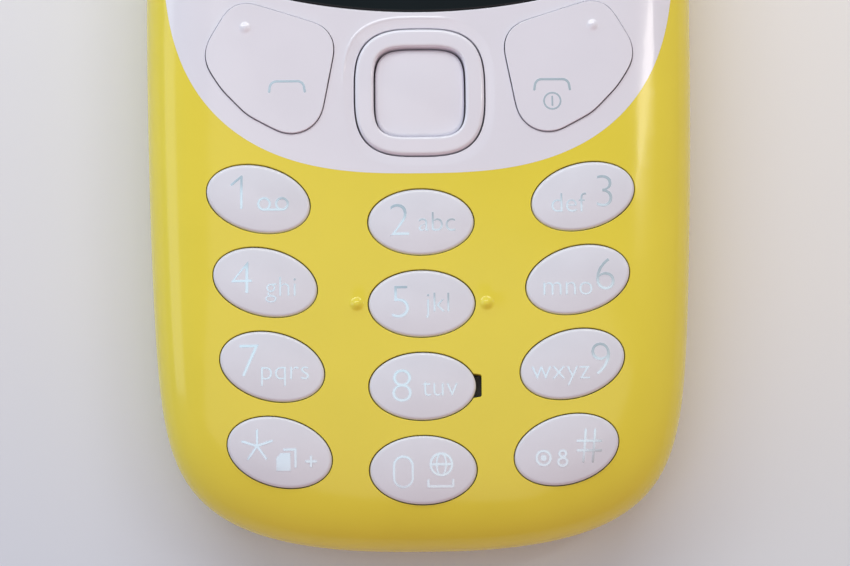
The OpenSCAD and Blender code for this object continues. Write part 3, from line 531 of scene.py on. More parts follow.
class Pillow(Plain):
    """Key top that follows the front and is curved more across the key than along it."""

    def __init__(self, x, y, turn, raise_by):
        height, self.slope = front_slope(x, y)
        self.middle, self.top = np.array([x, y]), height + raise_by
        c, s = math.cos(turn), math.sin(turn)
        self.axes = np.array([[c, -s], [s, c]])

    def lift(self, p):
        away = p - self.middle
        own = away @ self.axes
        sag = own[:, 0] ** 2 / (2 * KEY_ALONG_R) + own[:, 1] ** 2 / (2 * KEY_ACROSS_R)
        return np.column_stack([p, self.top + away @ self.slope - sag])


class Level(Plain):
    """Flat surface at one height."""

    def __init__(self, z):
        self.z = z

    def lift(self, p):
        return np.column_stack([p, np.full(len(p), self.z)])


class Raised:
    """Another surface moved up or down."""

    up = 1

    def __init__(self, surface, by):
        self.surface, self.by = surface, by

    def flat(self, xy):
        return self.surface.flat(xy)

    def lift(self, p):
        return self.surface.lift(p) + [0, 0, self.by]

    def over(self, xy):
        return self.surface.over(xy) + [0, 0, self.by]


def ring_dish(xy):
    """Depth of the shallow dish round the navigation ring, with a fine bead at its upper left."""
    x, y = xy[:, 0], xy[:, 1] - NAV_Y
    out = (np.abs(x) ** RING_POWER + np.abs(y) ** RING_POWER) ** (1 / RING_POWER) - RING_W / 2
    inner = np.clip((DISH_CREST - out) / DISH_CREST, 0, 1)
    away = np.degrees(np.arctan2(y, x)) - BEAD_MIDDLE
    away = np.abs((away + 180) % 360 - 180) / BEAD_REACH
    crest = np.clip(1 - ((out - DISH_CREST) / BEAD_HALF) ** 2, 0, 1) ** 2
    bead = crest * np.clip(BEAD_FADE * (1 - away), 0, 1)
    return DISH_SLOPE * inner**DISH_POWER - BEAD_H * bead


FRONT = Dome(HALF_W, HALF_L, FRONT_H, SEAM_Z, 1)
FASCIA = Dome(HALF_W, HALF_L, FRONT_H, SEAM_Z, 1, dish=ring_dish)
FRONT_IN = Dome(HALF_W - FRONT_WALL, HALF_L - FRONT_WALL, FRONT_H - FRONT_WALL, SEAM_Z, 1)
REAR = Dome(HALF_W, HALF_L, REAR_H - SEAM_GAP, SEAM_Z - SEAM_GAP, -1, floor=0)
REAR_IN = Dome(
    HALF_W - REAR_WALL, HALF_L - REAR_WALL, REAR_H - REAR_WALL, SEAM_Z, -1, floor=REAR_WALL
)


# Meshes from surfaces and loops


def rounded(loop, radius, into):
    """Loops that step from an edge, outwards for into 1 and inwards for -1, with their drops."""
    if radius == 0:
        return [(loop, 0.0)]
    rings = []
    for share in FILLET_SHARES:
        d = share * radius
        drop = radius - math.sqrt(radius**2 - max(radius - d, 0) ** 2)
        rings.append((offset(loop, into * d) if d else loop, drop))
    return rings


def support(loop, into):
    """Close rows beside a sharp edge, so that the shading up to it stays true."""
    return [(offset(loop, into * d), 0.0) for d in SUPPORT_STEPS]


def bump(x, y, r, h):
    """Rings of a soft round rise, with the drop of each."""
    return [
        (arc(x, y, r * share, 0, 345, 24), -h * (1 - share**2) ** 2) for share in BUMP_SHARES
    ]


def sheet(surface, bounds, step, rings=None, extra=None):
    """Triangles over a surface between the bounding loops. rings are (plan loop, drop) pairs."""
    rings = rings or [(loop, 0.0) for loop in bounds]
    loops = [surface.flat(loop) for loop, drop in rings]
    walls = [surface.flat(loop) for loop in bounds]
    flat = np.concatenate(loops)
    drops = np.concatenate([np.broadcast_to(drop, len(loop)) for loop, drop in rings])
    edges = []
    for loop in loops:
        start = edges[-1][0] + 1 if edges else 0
        edges += [(start + i, start + (i + 1) % len(loop)) for i in range(len(loop))]
    tree = KDTree(len(flat))
    for i, p in enumerate(flat):
        tree.insert((p[0], p[1], 0), i)
    tree.balance()

    def within(p):
        hit = np.zeros(len(p), bool)
        for loop in walls:
            hit ^= inside(p, loop)
        return hit

    low, high = flat.min(0), flat.max(0)
    rows = []
    for i, y in enumerate(np.arange(low[1], high[1], step * math.sqrt(0.75))):
        x = np.arange(low[0] + (i % 2) * step / 2, high[0], step)
        rows.append(np.column_stack([x, np.full(len(x), y)]))
    grid = np.concatenate(rows)
    room = np.full(len(grid), step)
    if extra is not None:
        points, spacing, near = extra
        grid = grid[surface.reach(grid, FAR_REACH) < near]
        room = np.concatenate([np.full(len(grid), step), np.full(len(points), spacing)])
        grid = np.concatenate([grid, points])
    keep = within(grid)
    grid, room = grid[keep], room[keep]
    clear = [tree.find((p[0], p[1], 0))[2] > gap for p, gap in zip(grid, CLEAR_SHARE * room)]
    grid = grid[np.array(clear, bool)] if len(grid) else grid
    points = np.concatenate([flat, grid])
    drops = np.concatenate([drops, np.zeros(len(grid))])
    made = delaunay_2d_cdt([Vector(p) for p in points], edges, [], 0, MEET)
    spots = [points[origin[0]] if origin else tuple(p) for p, origin in zip(made[0], made[3])]
    spots = np.array(spots)
    falls = np.array([drops[origin[0]] if origin else 0 for origin in made[3]])
    triangles = np.array(made[2])
    good = within(spots[triangles].mean(1))
    lifted = surface.lift(spots)
    lifted[:, 2] -= surface.up * falls
    return lifted, triangles[good]


def linked(name, data):
    """A new object in the scene."""
    obj = bpy.data.objects.new(name, data)
    bpy.context.scene.collection.objects.link(obj)
    return obj


class Builder:
    """Collects points, faces and their material numbers for one piece, in millimetres."""

    def __init__(self):
        self.points, self.faces, self.inks = [], [], []

    def add(self, points, faces, ink=0):
        base = len(self.points)
        self.points += [tuple(p) for p in points]
        self.faces += [tuple(base + int(i) for i in face) for face in faces]
        self.inks += [ink] * len(faces)

    def band(self, low, high, ink=0):
        """Wall between two closed loops."""
        n = len(low)
        faces = [(i, (i + 1) % n, n + (i + 1) % n, n + i) for i in range(n)]
        self.add(np.concatenate([low, high]), faces, ink)

    def shell(self, top, base, outer, holes=(), radius=0.0, base_outer=None, step=1.0,
              base_step=None, extra=None, bumps=()):
        """Closed piece between two surfaces: holes are (loop, radius), bumps are (loop, drop)."""
        under = outer if base_outer is None else base_outer
        rings = rounded(outer, radius, -1) + list(bumps)
        for loop, edge in holes:
            rings += rounded(loop, edge, 1)
        loops = [loop for loop, edge in holes]
        self.add(*sheet(top, [outer, *loops], step, rings, extra))
        self.add(*sheet(base, [under, *loops], base_step or 3 * step))
        self.band(top.over(outer) - [0, 0, radius], base.over(under))
        for loop, edge in holes:
            self.band(top.over(loop) - [0, 0, edge], base.over(loop))

    def made(self, name, materials):
        """The finished object, welded, with outward normals and smooth faces."""
        mesh = bpy.data.meshes.new(name)
        mesh.from_pydata([Vector(p) * MM for p in self.points], [], self.faces)
        for material in materials:
            mesh.materials.append(material)
        mesh.polygons.foreach_set("material_index", self.inks)
        work = bmesh.new()
        work.from_mesh(mesh)
        bmesh.ops.remove_doubles(work, verts=work.verts, dist=WELD * MM)
        bmesh.ops.recalc_face_normals(work, faces=work.faces)
        work.to_mesh(mesh)
        work.free()
        mesh.polygons.foreach_set("use_smooth", [True] * len(mesh.polygons))
        mesh.set_sharp_from_angle(angle=math.radians(SHARP_ANGLE))
        return linked(name, mesh)


def place(obj, body, slot, *nodes):
    """Seats a piece on its body in the place of its CAD nodes."""
    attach(obj, body)
    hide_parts(*nodes)


# Materials

COAT_ROUGH = 0.04
ROUGH_VARY = 0.25
DRIFT_SPREAD = 6
GRAIN_LIFT = 0.1
DISPLAY_BORDER = 2.2
DISPLAY_TONE = (0.024, 0.031, 0.034, 1)


def fill(made, **values):
    """Sets a shader node's inputs by name."""
    for name, value in values.items():
        made.inputs[name.replace("_", " ")].default_value = value
    return made


def node(tree, kind, **values):
    """A shader node with its inputs set by name."""
    return fill(tree.nodes.new(kind), **values)


def joined(tree, kind, operation, results):
    """Results of several nodes put together by one operation."""
    total = results[0]
    for result in results[1:]:
        both = tree.nodes.new(kind)
        both.operation = operation
        tree.links.new(total, both.inputs[0])
        tree.links.new(result, both.inputs[1])
        total = both.outputs[0]
    return total


def coating(name, colour, rough, vary=0.03, grain=900.0, bump=0.0, metal=0.0, coat=0.0, ior=1.5,
            shade=None):
    """Procedural surface: tone and gloss drift with noise, and fine grain lifts the surface."""
    material = bpy.data.materials.new(name)
    material.use_nodes = True
    tree = material.node_tree
    link = tree.links.new
    shader = tree.nodes["Principled BSDF"]
    fill(shader, Metallic=metal, IOR=ior, Coat_Weight=coat, Coat_Roughness=COAT_ROUGH)
    where = tree.nodes.new("ShaderNodeTexCoord")
    drift = node(tree, "ShaderNodeTexNoise", Scale=grain / DRIFT_SPREAD, Detail=3.0)
    link(where.outputs["Object"], drift.inputs["Vector"])
    ramp = tree.nodes.new("ShaderNodeValToRGB")
    tones = ((0.3, 1 - vary), (0.7, 1 + vary))
    for element, (position, gain) in zip(ramp.color_ramp.elements, tones):
        element.position = position
        element.color = (*[min(1, c * gain) for c in colour], 1)
    link(drift.outputs["Fac"], ramp.inputs["Fac"])
    tint = ramp.outputs["Color"]
    if shade is not None:
        tint = shade(tree, where, tint)
    link(tint, shader.inputs["Base Color"])
    low, high = rough * (1 - ROUGH_VARY), rough * (1 + ROUGH_VARY)
    gloss = node(tree, "ShaderNodeMapRange", To_Min=low, To_Max=high)
    link(drift.outputs["Fac"], gloss.inputs["Value"])
    link(gloss.outputs["Result"], shader.inputs["Roughness"])
    if bump:
        fine = node(tree, "ShaderNodeTexNoise", Scale=grain, Detail=2.0)
        link(where.outputs["Object"], fine.inputs["Vector"])
        lift = node(tree, "ShaderNodeBump", Strength=bump, Distance=GRAIN_LIFT * MM)
        link(fine.outputs["Fac"], lift.inputs["Height"])
        link(lift.outputs["Normal"], shader.inputs["Normal"])
    return material


def window_shade(tree, where, tint):
    """Printed black border round the faintly lighter display area."""
    link = tree.links.new
    split = tree.nodes.new("ShaderNodeSeparateXYZ")
    link(where.outputs["Object"], split.inputs["Vector"])
    low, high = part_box("lcd_panel")
    inset = DISPLAY_BORDER * MM
    tests = []
    for i, axis in enumerate("XY"):
        for bound, sense in ((low[i] + inset, "GREATER_THAN"), (high[i] - inset, "LESS_THAN")):
            test = tree.nodes.new("ShaderNodeMath")
            test.operation = sense
            test.inputs[1].default_value = bound
            link(split.outputs[axis], test.inputs[0])
            tests.append(test.outputs[0])
    share = joined(tree, "ShaderNodeMath", "MULTIPLY", tests)
    mix = tree.nodes.new("ShaderNodeMix")
    mix.data_type = "RGBA"
    mix.inputs["B"].default_value = DISPLAY_TONE
    link(share, mix.inputs["Factor"])
    link(tint, mix.inputs["A"])
    return mix.outputs["Result"]


YELLOW = coating("yellow_plastic", (0.84, 0.70, 0.062), 0.16, vary=0.015, bump=0.02, coat=0.1)
WHITE = coating("white_plastic", (0.80, 0.79, 0.86), 0.14, vary=0.012, bump=0.015, coat=0.3)
KEY_WHITE = coating("key_plastic", (0.755, 0.76, 0.825), 0.18, vary=0.02, grain=1500.0, bump=0.03)
FOIL = coating("legend_foil", (0.73, 0.89, 1.0), 0.18, vary=0.02, metal=0.6)
GLASS = coating(
    "display_glass", (0.006, 0.010, 0.012), 0.05, vary=0.1, ior=1.42, shade=window_shade
)
# Colour, roughness and other values of the finishes that the remaining nodes have
FINISHES = {
    "bezel_metal": dict(colour=(0.62, 0.63, 0.66), rough=0.16, vary=0.04, metal=1.0, bump=0.03),
    "dark_mesh": dict(colour=(0.018, 0.019, 0.021), rough=0.5, vary=0.3, grain=5000.0, bump=0.6),
    "dark_plastic": dict(colour=(0.022, 0.024, 0.028), rough=0.45, vary=0.1, bump=0.25),
    "board": dict(colour=(0.012, 0.105, 0.035), rough=0.3, vary=0.18, grain=2500.0, bump=0.15),
    "steel": dict(colour=(0.55, 0.56, 0.58), rough=0.3, vary=0.05, metal=1.0, bump=0.08),
    "connector_plastic": dict(colour=(0.72, 0.68, 0.57), rough=0.4, vary=0.04, bump=0.1),
    "lcd_glass": dict(colour=(0.012, 0.015, 0.018), rough=0.08, vary=0.1),
    "foam": dict(colour=(0.012, 0.012, 0.013), rough=0.85, vary=0.3, grain=6000.0, bump=0.8),
    "film": dict(colour=(0.48, 0.23, 0.03), rough=0.25, vary=0.06, bump=0.05),
    "silicone": dict(colour=(0.62, 0.65, 0.68), rough=0.45, vary=0.04, bump=0.08),
    "gold": dict(colour=(0.72, 0.50, 0.16), rough=0.25, vary=0.05, metal=1.0, bump=0.05),
    "battery_case": dict(colour=(0.10, 0.105, 0.12), rough=0.38, vary=0.1, bump=0.12),
}
SLOTS = {name: coating(name, **look) for name, look in FINISHES.items()}
SLOTS["display_glass"] = GLASS


# Shells


def rim_stations(count, extra):
    """Distances round the rim: even ones, and the ends of each cut."""
    total = lengths(RIM_XY)[-1]
    return np.unique(np.concatenate([np.arange(count) * total / count, extra]) % total)


def rim_shares(count, extra=()):
    """Shares of the outline at those distances."""
    return at_stations(RIM_XY, RIM, rim_stations(count, extra))


def port_stations():
    """Stations at the two ports, close together at a straight side."""
    across = JACK_X + JACK_R * np.cos(np.linspace(0, math.pi, 29))
    steps = (-CUT_STEP, CUT_STEP)
    sides = [USB_X + side * (USB_HALF_W + d) for side in (-1, 1) for d in steps]
    return np.array([top_station(x) for x in [*across, *sides]])


def port_heights(xy, z, sense):
    """Rim heights moved to clear the two ports: sense 1 for the front, -1 for the back."""
    top = xy[:, 1] > 0.8 * HALF_L
    half = np.sqrt(np.maximum(JACK_R**2 - (xy[:, 0] - JACK_X) ** 2, 0))
    jack = top & (half > 0)
    usb = top & (np.abs(xy[:, 0] - USB_X) < USB_HALF_W)
    if sense > 0:
        z = np.where(jack, np.maximum(z, JACK_Z + half), z)
        return np.where(usb, USB_TOP_Z, z)
    z = np.where(jack, np.minimum(z, JACK_Z - half), z)
    return np.where(usb, USB_LOW_Z, z)


def front_cover():
    """Yellow front round the keypad."""
    shares = rim_shares(RIM_STATIONS, port_stations())
    xy = plan(HALF_W, HALF_L, shares)
    z = port_heights(xy, np.full(len(xy), SEAM_Z), 1)
    holes = [(panel_plan(PANEL_GAP), 0.0)]
    for c in (-1, 0, 1):
        for r in range(4):
            hole = mic_hole() if (c, r) == (0, 1) else key_plan(c, r, KEY_GAP)
            holes.append((hole, HOLE_EDGE_R))
    edge = FRONT.edge_points(rim_shares(EDGE_STATIONS), EDGE_NEAR, EDGE_STEP)
    x = KEY_W / 2 + BUMP_GAP
    y = key_place(0, 2)[1]
    bumps = bump(x, y, BUMP_R, BUMP_H) + bump(-x, y, BUMP_R, BUMP_H)
    bumps += support(panel_plan(PANEL_GAP), 1)
    b = Builder()
    b.shell(FRONT, FRONT_IN, FRONT.rim(shares, z), holes, base_outer=FRONT_IN.rim(shares, z),
            step=1.1, base_step=3.0, extra=(edge, EDGE_STEP, EDGE_NEAR), bumps=bumps)
    place(b.made("front_shell", [YELLOW]), "handset", "yellow_plastic", "front_cover")


def microphone_mesh():
    """Dark mesh at the foot of the microphone slot."""
    y = key_place(0, 1)[1]
    reach = MIC_NOTCH_H / 2
    loop = mic_hole()
    slot = loop[(loop[:, 0] > KEY_W / 2) & (np.abs(loop[:, 1] - y) <= reach + 1e-6)]
    edge = key_plan(0, 1, KEY_GAP)
    edge = edge[(edge[:, 0] > 0) & (np.abs(edge[:, 1] - y) < reach)]
    edge = edge[np.argsort(-edge[:, 1])]
    outline = offset(np.concatenate([slot, edge]), -MIC_MESH_GAP)
    top = FRONT.over(slot)[:, 2].min() - MIC_MESH_DEPTH
    b = Builder()
    b.shell(Level(top), Level(top - MIC_MESH_T), outline, step=0.5)
    mesh = b.made("microphone_mesh", [SLOTS["dark_mesh"]])
    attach(mesh, "handset")


def upper_fascia():
    """White panel round the display and the navigation keys."""
    edge = FASCIA.edge_points(rim_shares(EDGE_STATIONS), EDGE_NEAR, EDGE_STEP)
    holes = [
        (window_plan(TRIM_GAP), WINDOW_EDGE_R),
        (stadium(EARPIECE_W, EARPIECE_H, (0, EARPIECE_Y), 16), HOLE_EDGE_R),
        (function_plan(-1, FUNCTION_GAP), FUNCTION_EDGE_R),
        (function_plan(1, FUNCTION_GAP), FUNCTION_EDGE_R),
        (ring_plan(TILT_GAP, RING_POINTS), HOLE_EDGE_R),
    ]
    b = Builder()
    crest = [
        (ring_plan(out, CREST_POINTS), 0.0)
        for out in np.linspace(DISH_CREST + BEAD_HALF, DISH_CREST - BEAD_HALF, CREST_ROWS)
    ]
    b.shell(FASCIA, FRONT_IN, panel_plan(0), holes, step=0.7, base_step=3.0,
            extra=(edge, EDGE_STEP, EDGE_NEAR), bumps=crest + support(panel_plan(0), -1))
    place(b.made("fascia_panel", [WHITE]), "handset", "white_plastic", "upper_fascia")


def display_window():
    """Dark glossy window, flush in the panel."""
    b = Builder()
    b.shell(FRONT, FRONT_IN, window_plan(0), (), WINDOW_EDGE_R, step=1.6, base_step=3.0)
    place(b.made("window_glass", [GLASS]), "handset", "display_glass", "display_window")


def rear_cover():
    """Yellow back with its camera hole, sound slots, nail notch and tabs."""
    run = lengths(RIM_XY)[:-1]
    spot = RIM_XY - np.array(NOTCH_AT)
    along = (spot[:, 0] + spot[:, 1]) / math.sqrt(2)
    corner = (RIM_XY[:, 0] > 0) & (RIM_XY[:, 1] < 0)
    ends = [
        np.interp(side * NOTCH_HALF_L + d, along[corner], run[corner])
        for side in (-1, 1) for d in (-CUT_STEP, CUT_STEP)
    ]
    shares = rim_shares(RIM_STATIONS, np.concatenate([port_stations(), ends]))
    xy = plan(HALF_W, HALF_L, shares)
    z = port_heights(xy, np.full(len(xy), SEAM_Z - SEAM_GAP), -1)
    spot = xy - np.array(NOTCH_AT)
    cut = (np.abs(spot.sum(1)) < NOTCH_HALF_L * math.sqrt(2)) & (xy[:, 0] > 0) & (xy[:, 1] < 0)
    z = np.where(cut, NOTCH_Z, z)
    camera = arc(0, CAMERA_Y, CAMERA_HOLE_R, 0, 357, 120)
    slots = [
        stadium(SLOT_W, SLOT_L, (SLOT_X + i * SLOT_PITCH, CAMERA_Y), 10)
        for i in range(-SLOTS_BESIDE, SLOTS_BESIDE + 1)
    ]
    pocket = squircle(POCKET_W, POCKET_H, POCKET_POWER, 120, at=(SLOT_X, CAMERA_Y))
    rims = [REAR.rim(shares, z), REAR_IN.rim(shares, z)]
    even_shares = rim_shares(EDGE_STATIONS)
    crease = REAR.flat(REAR.rim(even_shares[:1], np.zeros(1)))
    near = REAR.reach(crease, FAR_REACH)[0]
    edge = REAR.edge_points(even_shares, near, EDGE_STEP)
    rings = [(rims[0], 0.0)]
    for hole in [camera, *slots]:
        rings += rounded(hole, HOLE_EDGE_R, 1)
    b = Builder()
    outer = [rims[0], camera, *slots]
    b.add(*sheet(REAR, outer, 1.8, rings, (edge, EDGE_STEP, near)))
    b.add(*sheet(REAR_IN, [rims[1], camera, pocket], 2.5))
    b.add(*sheet(Level(POCKET_Z), [pocket, *slots], 2.0))
    b.band(REAR.over(rims[0]), REAR_IN.over(rims[1]))
    b.band(REAR.over(camera) + [0, 0, HOLE_EDGE_R], REAR_IN.over(camera))
    b.band(REAR_IN.over(pocket), Level(POCKET_Z).over(pocket))
    for slot in slots:
        b.band(REAR.over(slot) + [0, 0, HOLE_EDGE_R], Level(POCKET_Z).over(slot))
    for y in TAB_YS:
        reach = half_width(y) - TAB_CLEAR - TAB_T / 2
        for side in (-1, 1):
            tab = squircle(TAB_T, TAB_L, TAB_POWER, 40, at=(side * reach, y))
            b.shell(Level(TAB_Z1), Level(TAB_Z0), tab, (), TAB_EDGE_R, step=1.0)
    place(b.made("rear_shell", [YELLOW]), "rear_cover", "yellow_plastic", "rear_cover")


# Print on the keys


def outlines(text, thin):
    """Closed outlines of a line of type in the built-in font, with thinner strokes."""
    curve = bpy.data.curves.new("type", "FONT")
    curve.body = text
    curve.offset = -thin
    curve.resolution_u = 4
    curve.fill_mode = "FRONT"
    obj = linked("type", curve)
    bpy.context.view_layer.update()
    mesh = obj.evaluated_get(bpy.context.evaluated_depsgraph_get()).to_mesh()
    spot = [(round(v.co.x, 6), round(v.co.y, 6)) for v in mesh.vertices]
    uses = {}
    for face in mesh.polygons:
        ring = [spot[i] for i in face.vertices]
        for a, b in zip(ring, ring[1:] + ring[:1]):
            uses[frozenset((a, b))] = uses.get(frozenset((a, b)), 0) + 1
    beside = {}
    for a, b in (sorted(edge) for edge, count in uses.items() if count == 1):
        beside.setdefault(a, []).append(b)
        beside.setdefault(b, []).append(a)
    loops = []
    while beside:
        loop = [min(beside)]
        while beside.get(loop[-1]):
            step = beside[loop[-1]].pop()
            beside[step].remove(loop[-1])
            loop.append(step)
        beside = {spot: near for spot, near in beside.items() if near}
        loops.append(np.array(loop[:-1]))
    bpy.data.objects.remove(obj)
    bpy.data.curves.remove(curve)
    return loops


def type_loops(text, tall, height, middle, thin):
    """Outlines scaled so that the type in tall is height mm, centred on middle across and up."""
    scale = height / np.ptp(np.concatenate(outlines(tall, thin))[:, 1])
    loops = [loop * scale for loop in outlines(text, thin)]
    points = np.concatenate(loops)
    shift = np.array(middle) - [(points[:, 0].min() + points[:, 0].max()) / 2, 0]
    return [loop + shift for loop in loops]


def ribbon(points, width=INK_STROKE):
    """Outline of a round-ended stroke along points."""
    path = np.array(points, float)
    run = np.gradient(path, axis=0)
    run /= np.linalg.norm(run, axis=1)[:, None]
    side = np.column_stack([-run[:, 1], run[:, 0]]) * width / 2
    heading = [math.degrees(math.atan2(r[1], r[0])) for r in (run[0], run[-1])]
    far = arc(*path[-1], width / 2, heading[1] - 90, heading[1] + 90, 7)
    near = arc(*path[0], width / 2, heading[0] + 90, heading[0] + 270, 7)
    return np.concatenate([path[1:-1] - side[1:-1], far, (path[1:-1] + side[1:-1])[::-1], near])


def stroke(*corners):
    """Ribbons along straight runs between corners."""
    return [[ribbon(np.linspace(a, b, 5))] for a, b in zip(corners, corners[1:])]


def ring_stroke(cx, cy, rx, ry, width=INK_STROKE):
    """Closed oval stroke, as an outer and an inner loop."""
    t = np.linspace(0, 2 * math.pi, 40, endpoint=False)
    unit = np.column_stack([np.cos(t), np.sin(t)])
    return [unit * (np.array([rx, ry]) + d) + [cx, cy] for d in (width / 2, -width / 2)]


def divided(loop, most):
    """A closed loop with points added, so that no side is longer than most."""
    runs = []
    for a, b in zip(loop, np.roll(loop, -1, 0)):
        count = max(1, math.ceil(np.linalg.norm(b - a) / most))
        runs.append(a + (b - a) * np.arange(count)[:, None] / count)
    return np.concatenate(runs)


def add_print(b, surface, groups, ink=1):
    """Thin raised print on a surface: closed layers, each a hair over the one before."""
    for i, group in enumerate(groups):
        loops = [divided(loop, INK_SIDE) for loop in group]
        top = Raised(surface, INK_RISE + i * INK_STEP)
        base = Raised(surface, -INK_SINK - i * INK_STEP)
        b.add(*sheet(top, loops, INK_MESH), ink)
        b.add(*sheet(base, loops, INK_MESH), ink)
        for loop in loops:
            b.band(top.over(loop), base.over(loop), ink)


def one_sign(x, y):
    """Digit one with a long flag."""
    half, flag, stem, drop = DIGIT_H / 2, 0.55, 0.35, 0.75
    return stroke((x - flag, y + half - drop), (x + stem, y + half), (x + stem, y - half))


def mail_sign(x, y):
    """Two linked rings, for the message key."""
    r, apart = 0.52, 0.8
    rings = [ring_stroke(x + side * apart, y, r, r) for side in (-1, 1)]
    return rings + stroke((x - apart, y - r), (x + apart, y - r))


def sheets_sign(x, y):
    """Two sheets, one behind the other."""
    left, right, foot, top, cut = x - 0.9, x + 0.35, y - 0.95, y + 0.6, 0.4
    front = [(left, foot), (right, foot), (right, top), (left + cut, top), (left, top - cut)]
    start, far, head, end = x - 0.2, x + 0.8, y + 0.9, y - 0.6
    return [[np.array(front)], *stroke((start, head), (far, head), (far, end))]


def zero_sign(x, y):
    """Tall nought with straight sides."""
    w = 1.86
    inner = 2 * INK_STROKE
    return [[stadium(w, DIGIT_H, (x, y), 16), stadium(w - inner, DIGIT_H - inner, (x, y), 16)]]


def globe_sign(x, y):
    """Ring with a meridian and an equator."""
    r, meridian = 0.95, 0.42
    return [ring_stroke(x, y, r, r), ring_stroke(x, y, meridian, r, FINE_STROKE),
            *stroke((x - r, y), (x + r, y))]


def space_sign(x, y):
    """Low bracket for a space."""
    half, top, foot = 1.1, y + 0.3, y - 0.25
    return stroke((x - half, top), (x - half, foot), (x + half, foot), (x + half, top))


def plus_sign(x, y):
    """Small cross."""
    half = 0.42
    return stroke((x - half, y), (x + half, y)) + stroke((x, y - half), (x, y + half))


def mode_sign(x, y):
    """Ring with a filled middle beside two stacked rings."""
    left, ring_r, spot_r = x - 0.78, 0.62, 0.26
    right, stack = x + 0.92, 0.36
    return [ring_stroke(left, y, ring_r, ring_r), [arc(left, y, spot_r, 0, 345, 24)],
            ring_stroke(right, y + stack, 0.3, 0.28), ring_stroke(right, y - stack, 0.4, 0.34)]


def star_sign(x, y):
    """Five-armed star."""
    middle, arm = (x, y - 0.1), 1.38
    return [run for tip in arc(*middle, arm, 90, 378, 5) for run in stroke(middle, tuple(tip))]


def hash_sign(x, y):
    """Two upright and two level strokes."""
    apart, lean, tall, wide = 0.42, 0.12, 1.4, 1.05
    runs = []
    for d in (-apart, apart):
        runs += stroke((x + d - lean, y - tall), (x + d + lean, y + tall))
        runs += stroke((x - wide, y + d), (x + wide, y + d))
    return runs


# Column, row, and what is printed about the key's centre: a digit by its middle, letters by the
# middle of their foot, and signs
KEYS = {
    "key_1": (-1, 3, None, None, [(one_sign, -1.83, 0.58), (mail_sign, 1.36, -0.54)]),
    "key_2": (0, 3, ("2", -1.92, 0.13), ("abc", 1.44, -0.89), []),
    "key_3": (1, 3, ("3", 1.92, 0.38), ("def", -1.3, -1.5), []),
    "key_4": (-1, 2, ("4", -2.07, 0.35), ("ghi", 1.41, -1.32), []),
    "key_5": (0, 2, ("5", -1.9, 0.11), ("jkl", 1.4, -0.8), []),
    "key_6": (1, 2, ("6", 2.45, 0.41), ("mno", -0.92, -1.44), []),
    "key_7": (-1, 1, ("7", -2.02, 0.49), ("pqrs", 1.17, -1.2), []),
    "key_8": (0, 1, ("8", -1.83, 0.0), ("tuv", 1.54, -0.91), []),
    "key_9": (1, 1, ("9", 2.51, 0.36), ("wxyz", -1.07, -1.38), []),
    "key_star": (-1, 0, None, None,
                 [(star_sign, -1.97, 0.64), (sheets_sign, 0.64, -0.71), (plus_sign, 2.81, -0.87)]),
    "key_0": (0, 0, None, None,
              [(zero_sign, -1.77, -0.17), (globe_sign, 1.6, 0.46), (space_sign, 1.54, -1.22)]),
    "key_hash": (1, 0, None, None, [(hash_sign, 2.0, 0.3), (mode_sign, -1.3, -0.77)]),
}


def legend(digit, letters, signs):
    """Everything printed on one key, about the key's centre."""
    groups = []
    if digit:
        text, x, y = digit
        groups.append(type_loops(text, "8", DIGIT_H, (x, y - DIGIT_H / 2), DIGIT_THIN))
    if letters:
        text, x, y = letters
        groups.append(type_loops(text, "b", ASCENDER_H, (x, y), LETTER_THIN))
    for sign, x, y in signs:
        groups += sign(x, y)
    return groups


# Keys


def number_key(name, c, r, digit, letters, signs):
    """Pillowed cap on its wider lip, with its legend."""
    x, y = key_place(c, r)
    cap = Pillow(x, y, math.radians(c * KEY_TILT), KEY_PROUD)
    b = Builder()
    b.shell(cap, Level(KEY_BASE_Z), key_plan(c, r, 0), (), KEY_EDGE_R, step=0.6, base_step=2.0)
    b.shell(Level(KEY_BASE_Z + LIP_T), Level(KEY_BASE_Z), key_plan(c, r, LIP_W), (), step=2.0)
    groups = legend(digit, letters, signs)
    add_print(b, cap, [[loop + [x, y] for loop in loops] for loops in groups])
    place(b.made(f"{name}_cap", [KEY_WHITE, FOIL]), name, "white_plastic", name)


def handset_sign(x, y):
    """Handset lying down: a thin flat grip with drooping ends."""
    half, turn_r, sweep, drop, splay, rise = 1.55, 0.6, 78, 0.95, 0.06, 0.46
    turns = [
        arc(side * (half - turn_r), -turn_r, turn_r, 90, 90 - side * sweep, 7) for side in (-1, 1)
    ]
    ends = [np.array([(side * (half + splay), -drop)]) for side in (-1, 1)]
    grip = np.column_stack([np.linspace(turn_r - half, half - turn_r, 7)[1:-1], np.zeros(5)])
    path = np.concatenate([ends[0], turns[0][::-1], grip, turns[1], ends[1]])
    return [[ribbon(path + [x, y + rise], HANDSET_STROKE)]]


def power_sign(x, y):
    """Ring with an upright stroke."""
    r, half = 0.75, 0.4
    bar = ribbon(np.linspace((x, y - half), (x, y + half), 5), FINE_STROKE)
    return [ring_stroke(x, y, r, r, FINE_STROKE), [bar]]


def function_key(side):
    """Rocking key beside the navigation ring: a raised dot and its sign."""
    name = "left_function_key" if side < 0 else "right_function_key"
    cap = Raised(FRONT, FUNCTION_PROUD)
    b = Builder()
    b.shell(cap, Level(KEY_BASE_Z), function_plan(side, 0), (), FUNCTION_EDGE_R, step=0.6,
            base_step=2.0, bumps=bump(side * DOT_X, DOT_Y, DOT_R, DOT_H))
    b.shell(Level(KEY_BASE_Z + LIP_T), Level(KEY_BASE_Z), function_plan(side, LIP_W), (), step=2.0)
    add_print(b, cap, handset_sign(side * SIGN_X, HANDSET_Y))
    if side > 0:
        add_print(b, cap, power_sign(SIGN_X, POWER_Y))
    place(b.made(f"{name}_cap", [WHITE, FOIL]), name, "white_plastic", name)


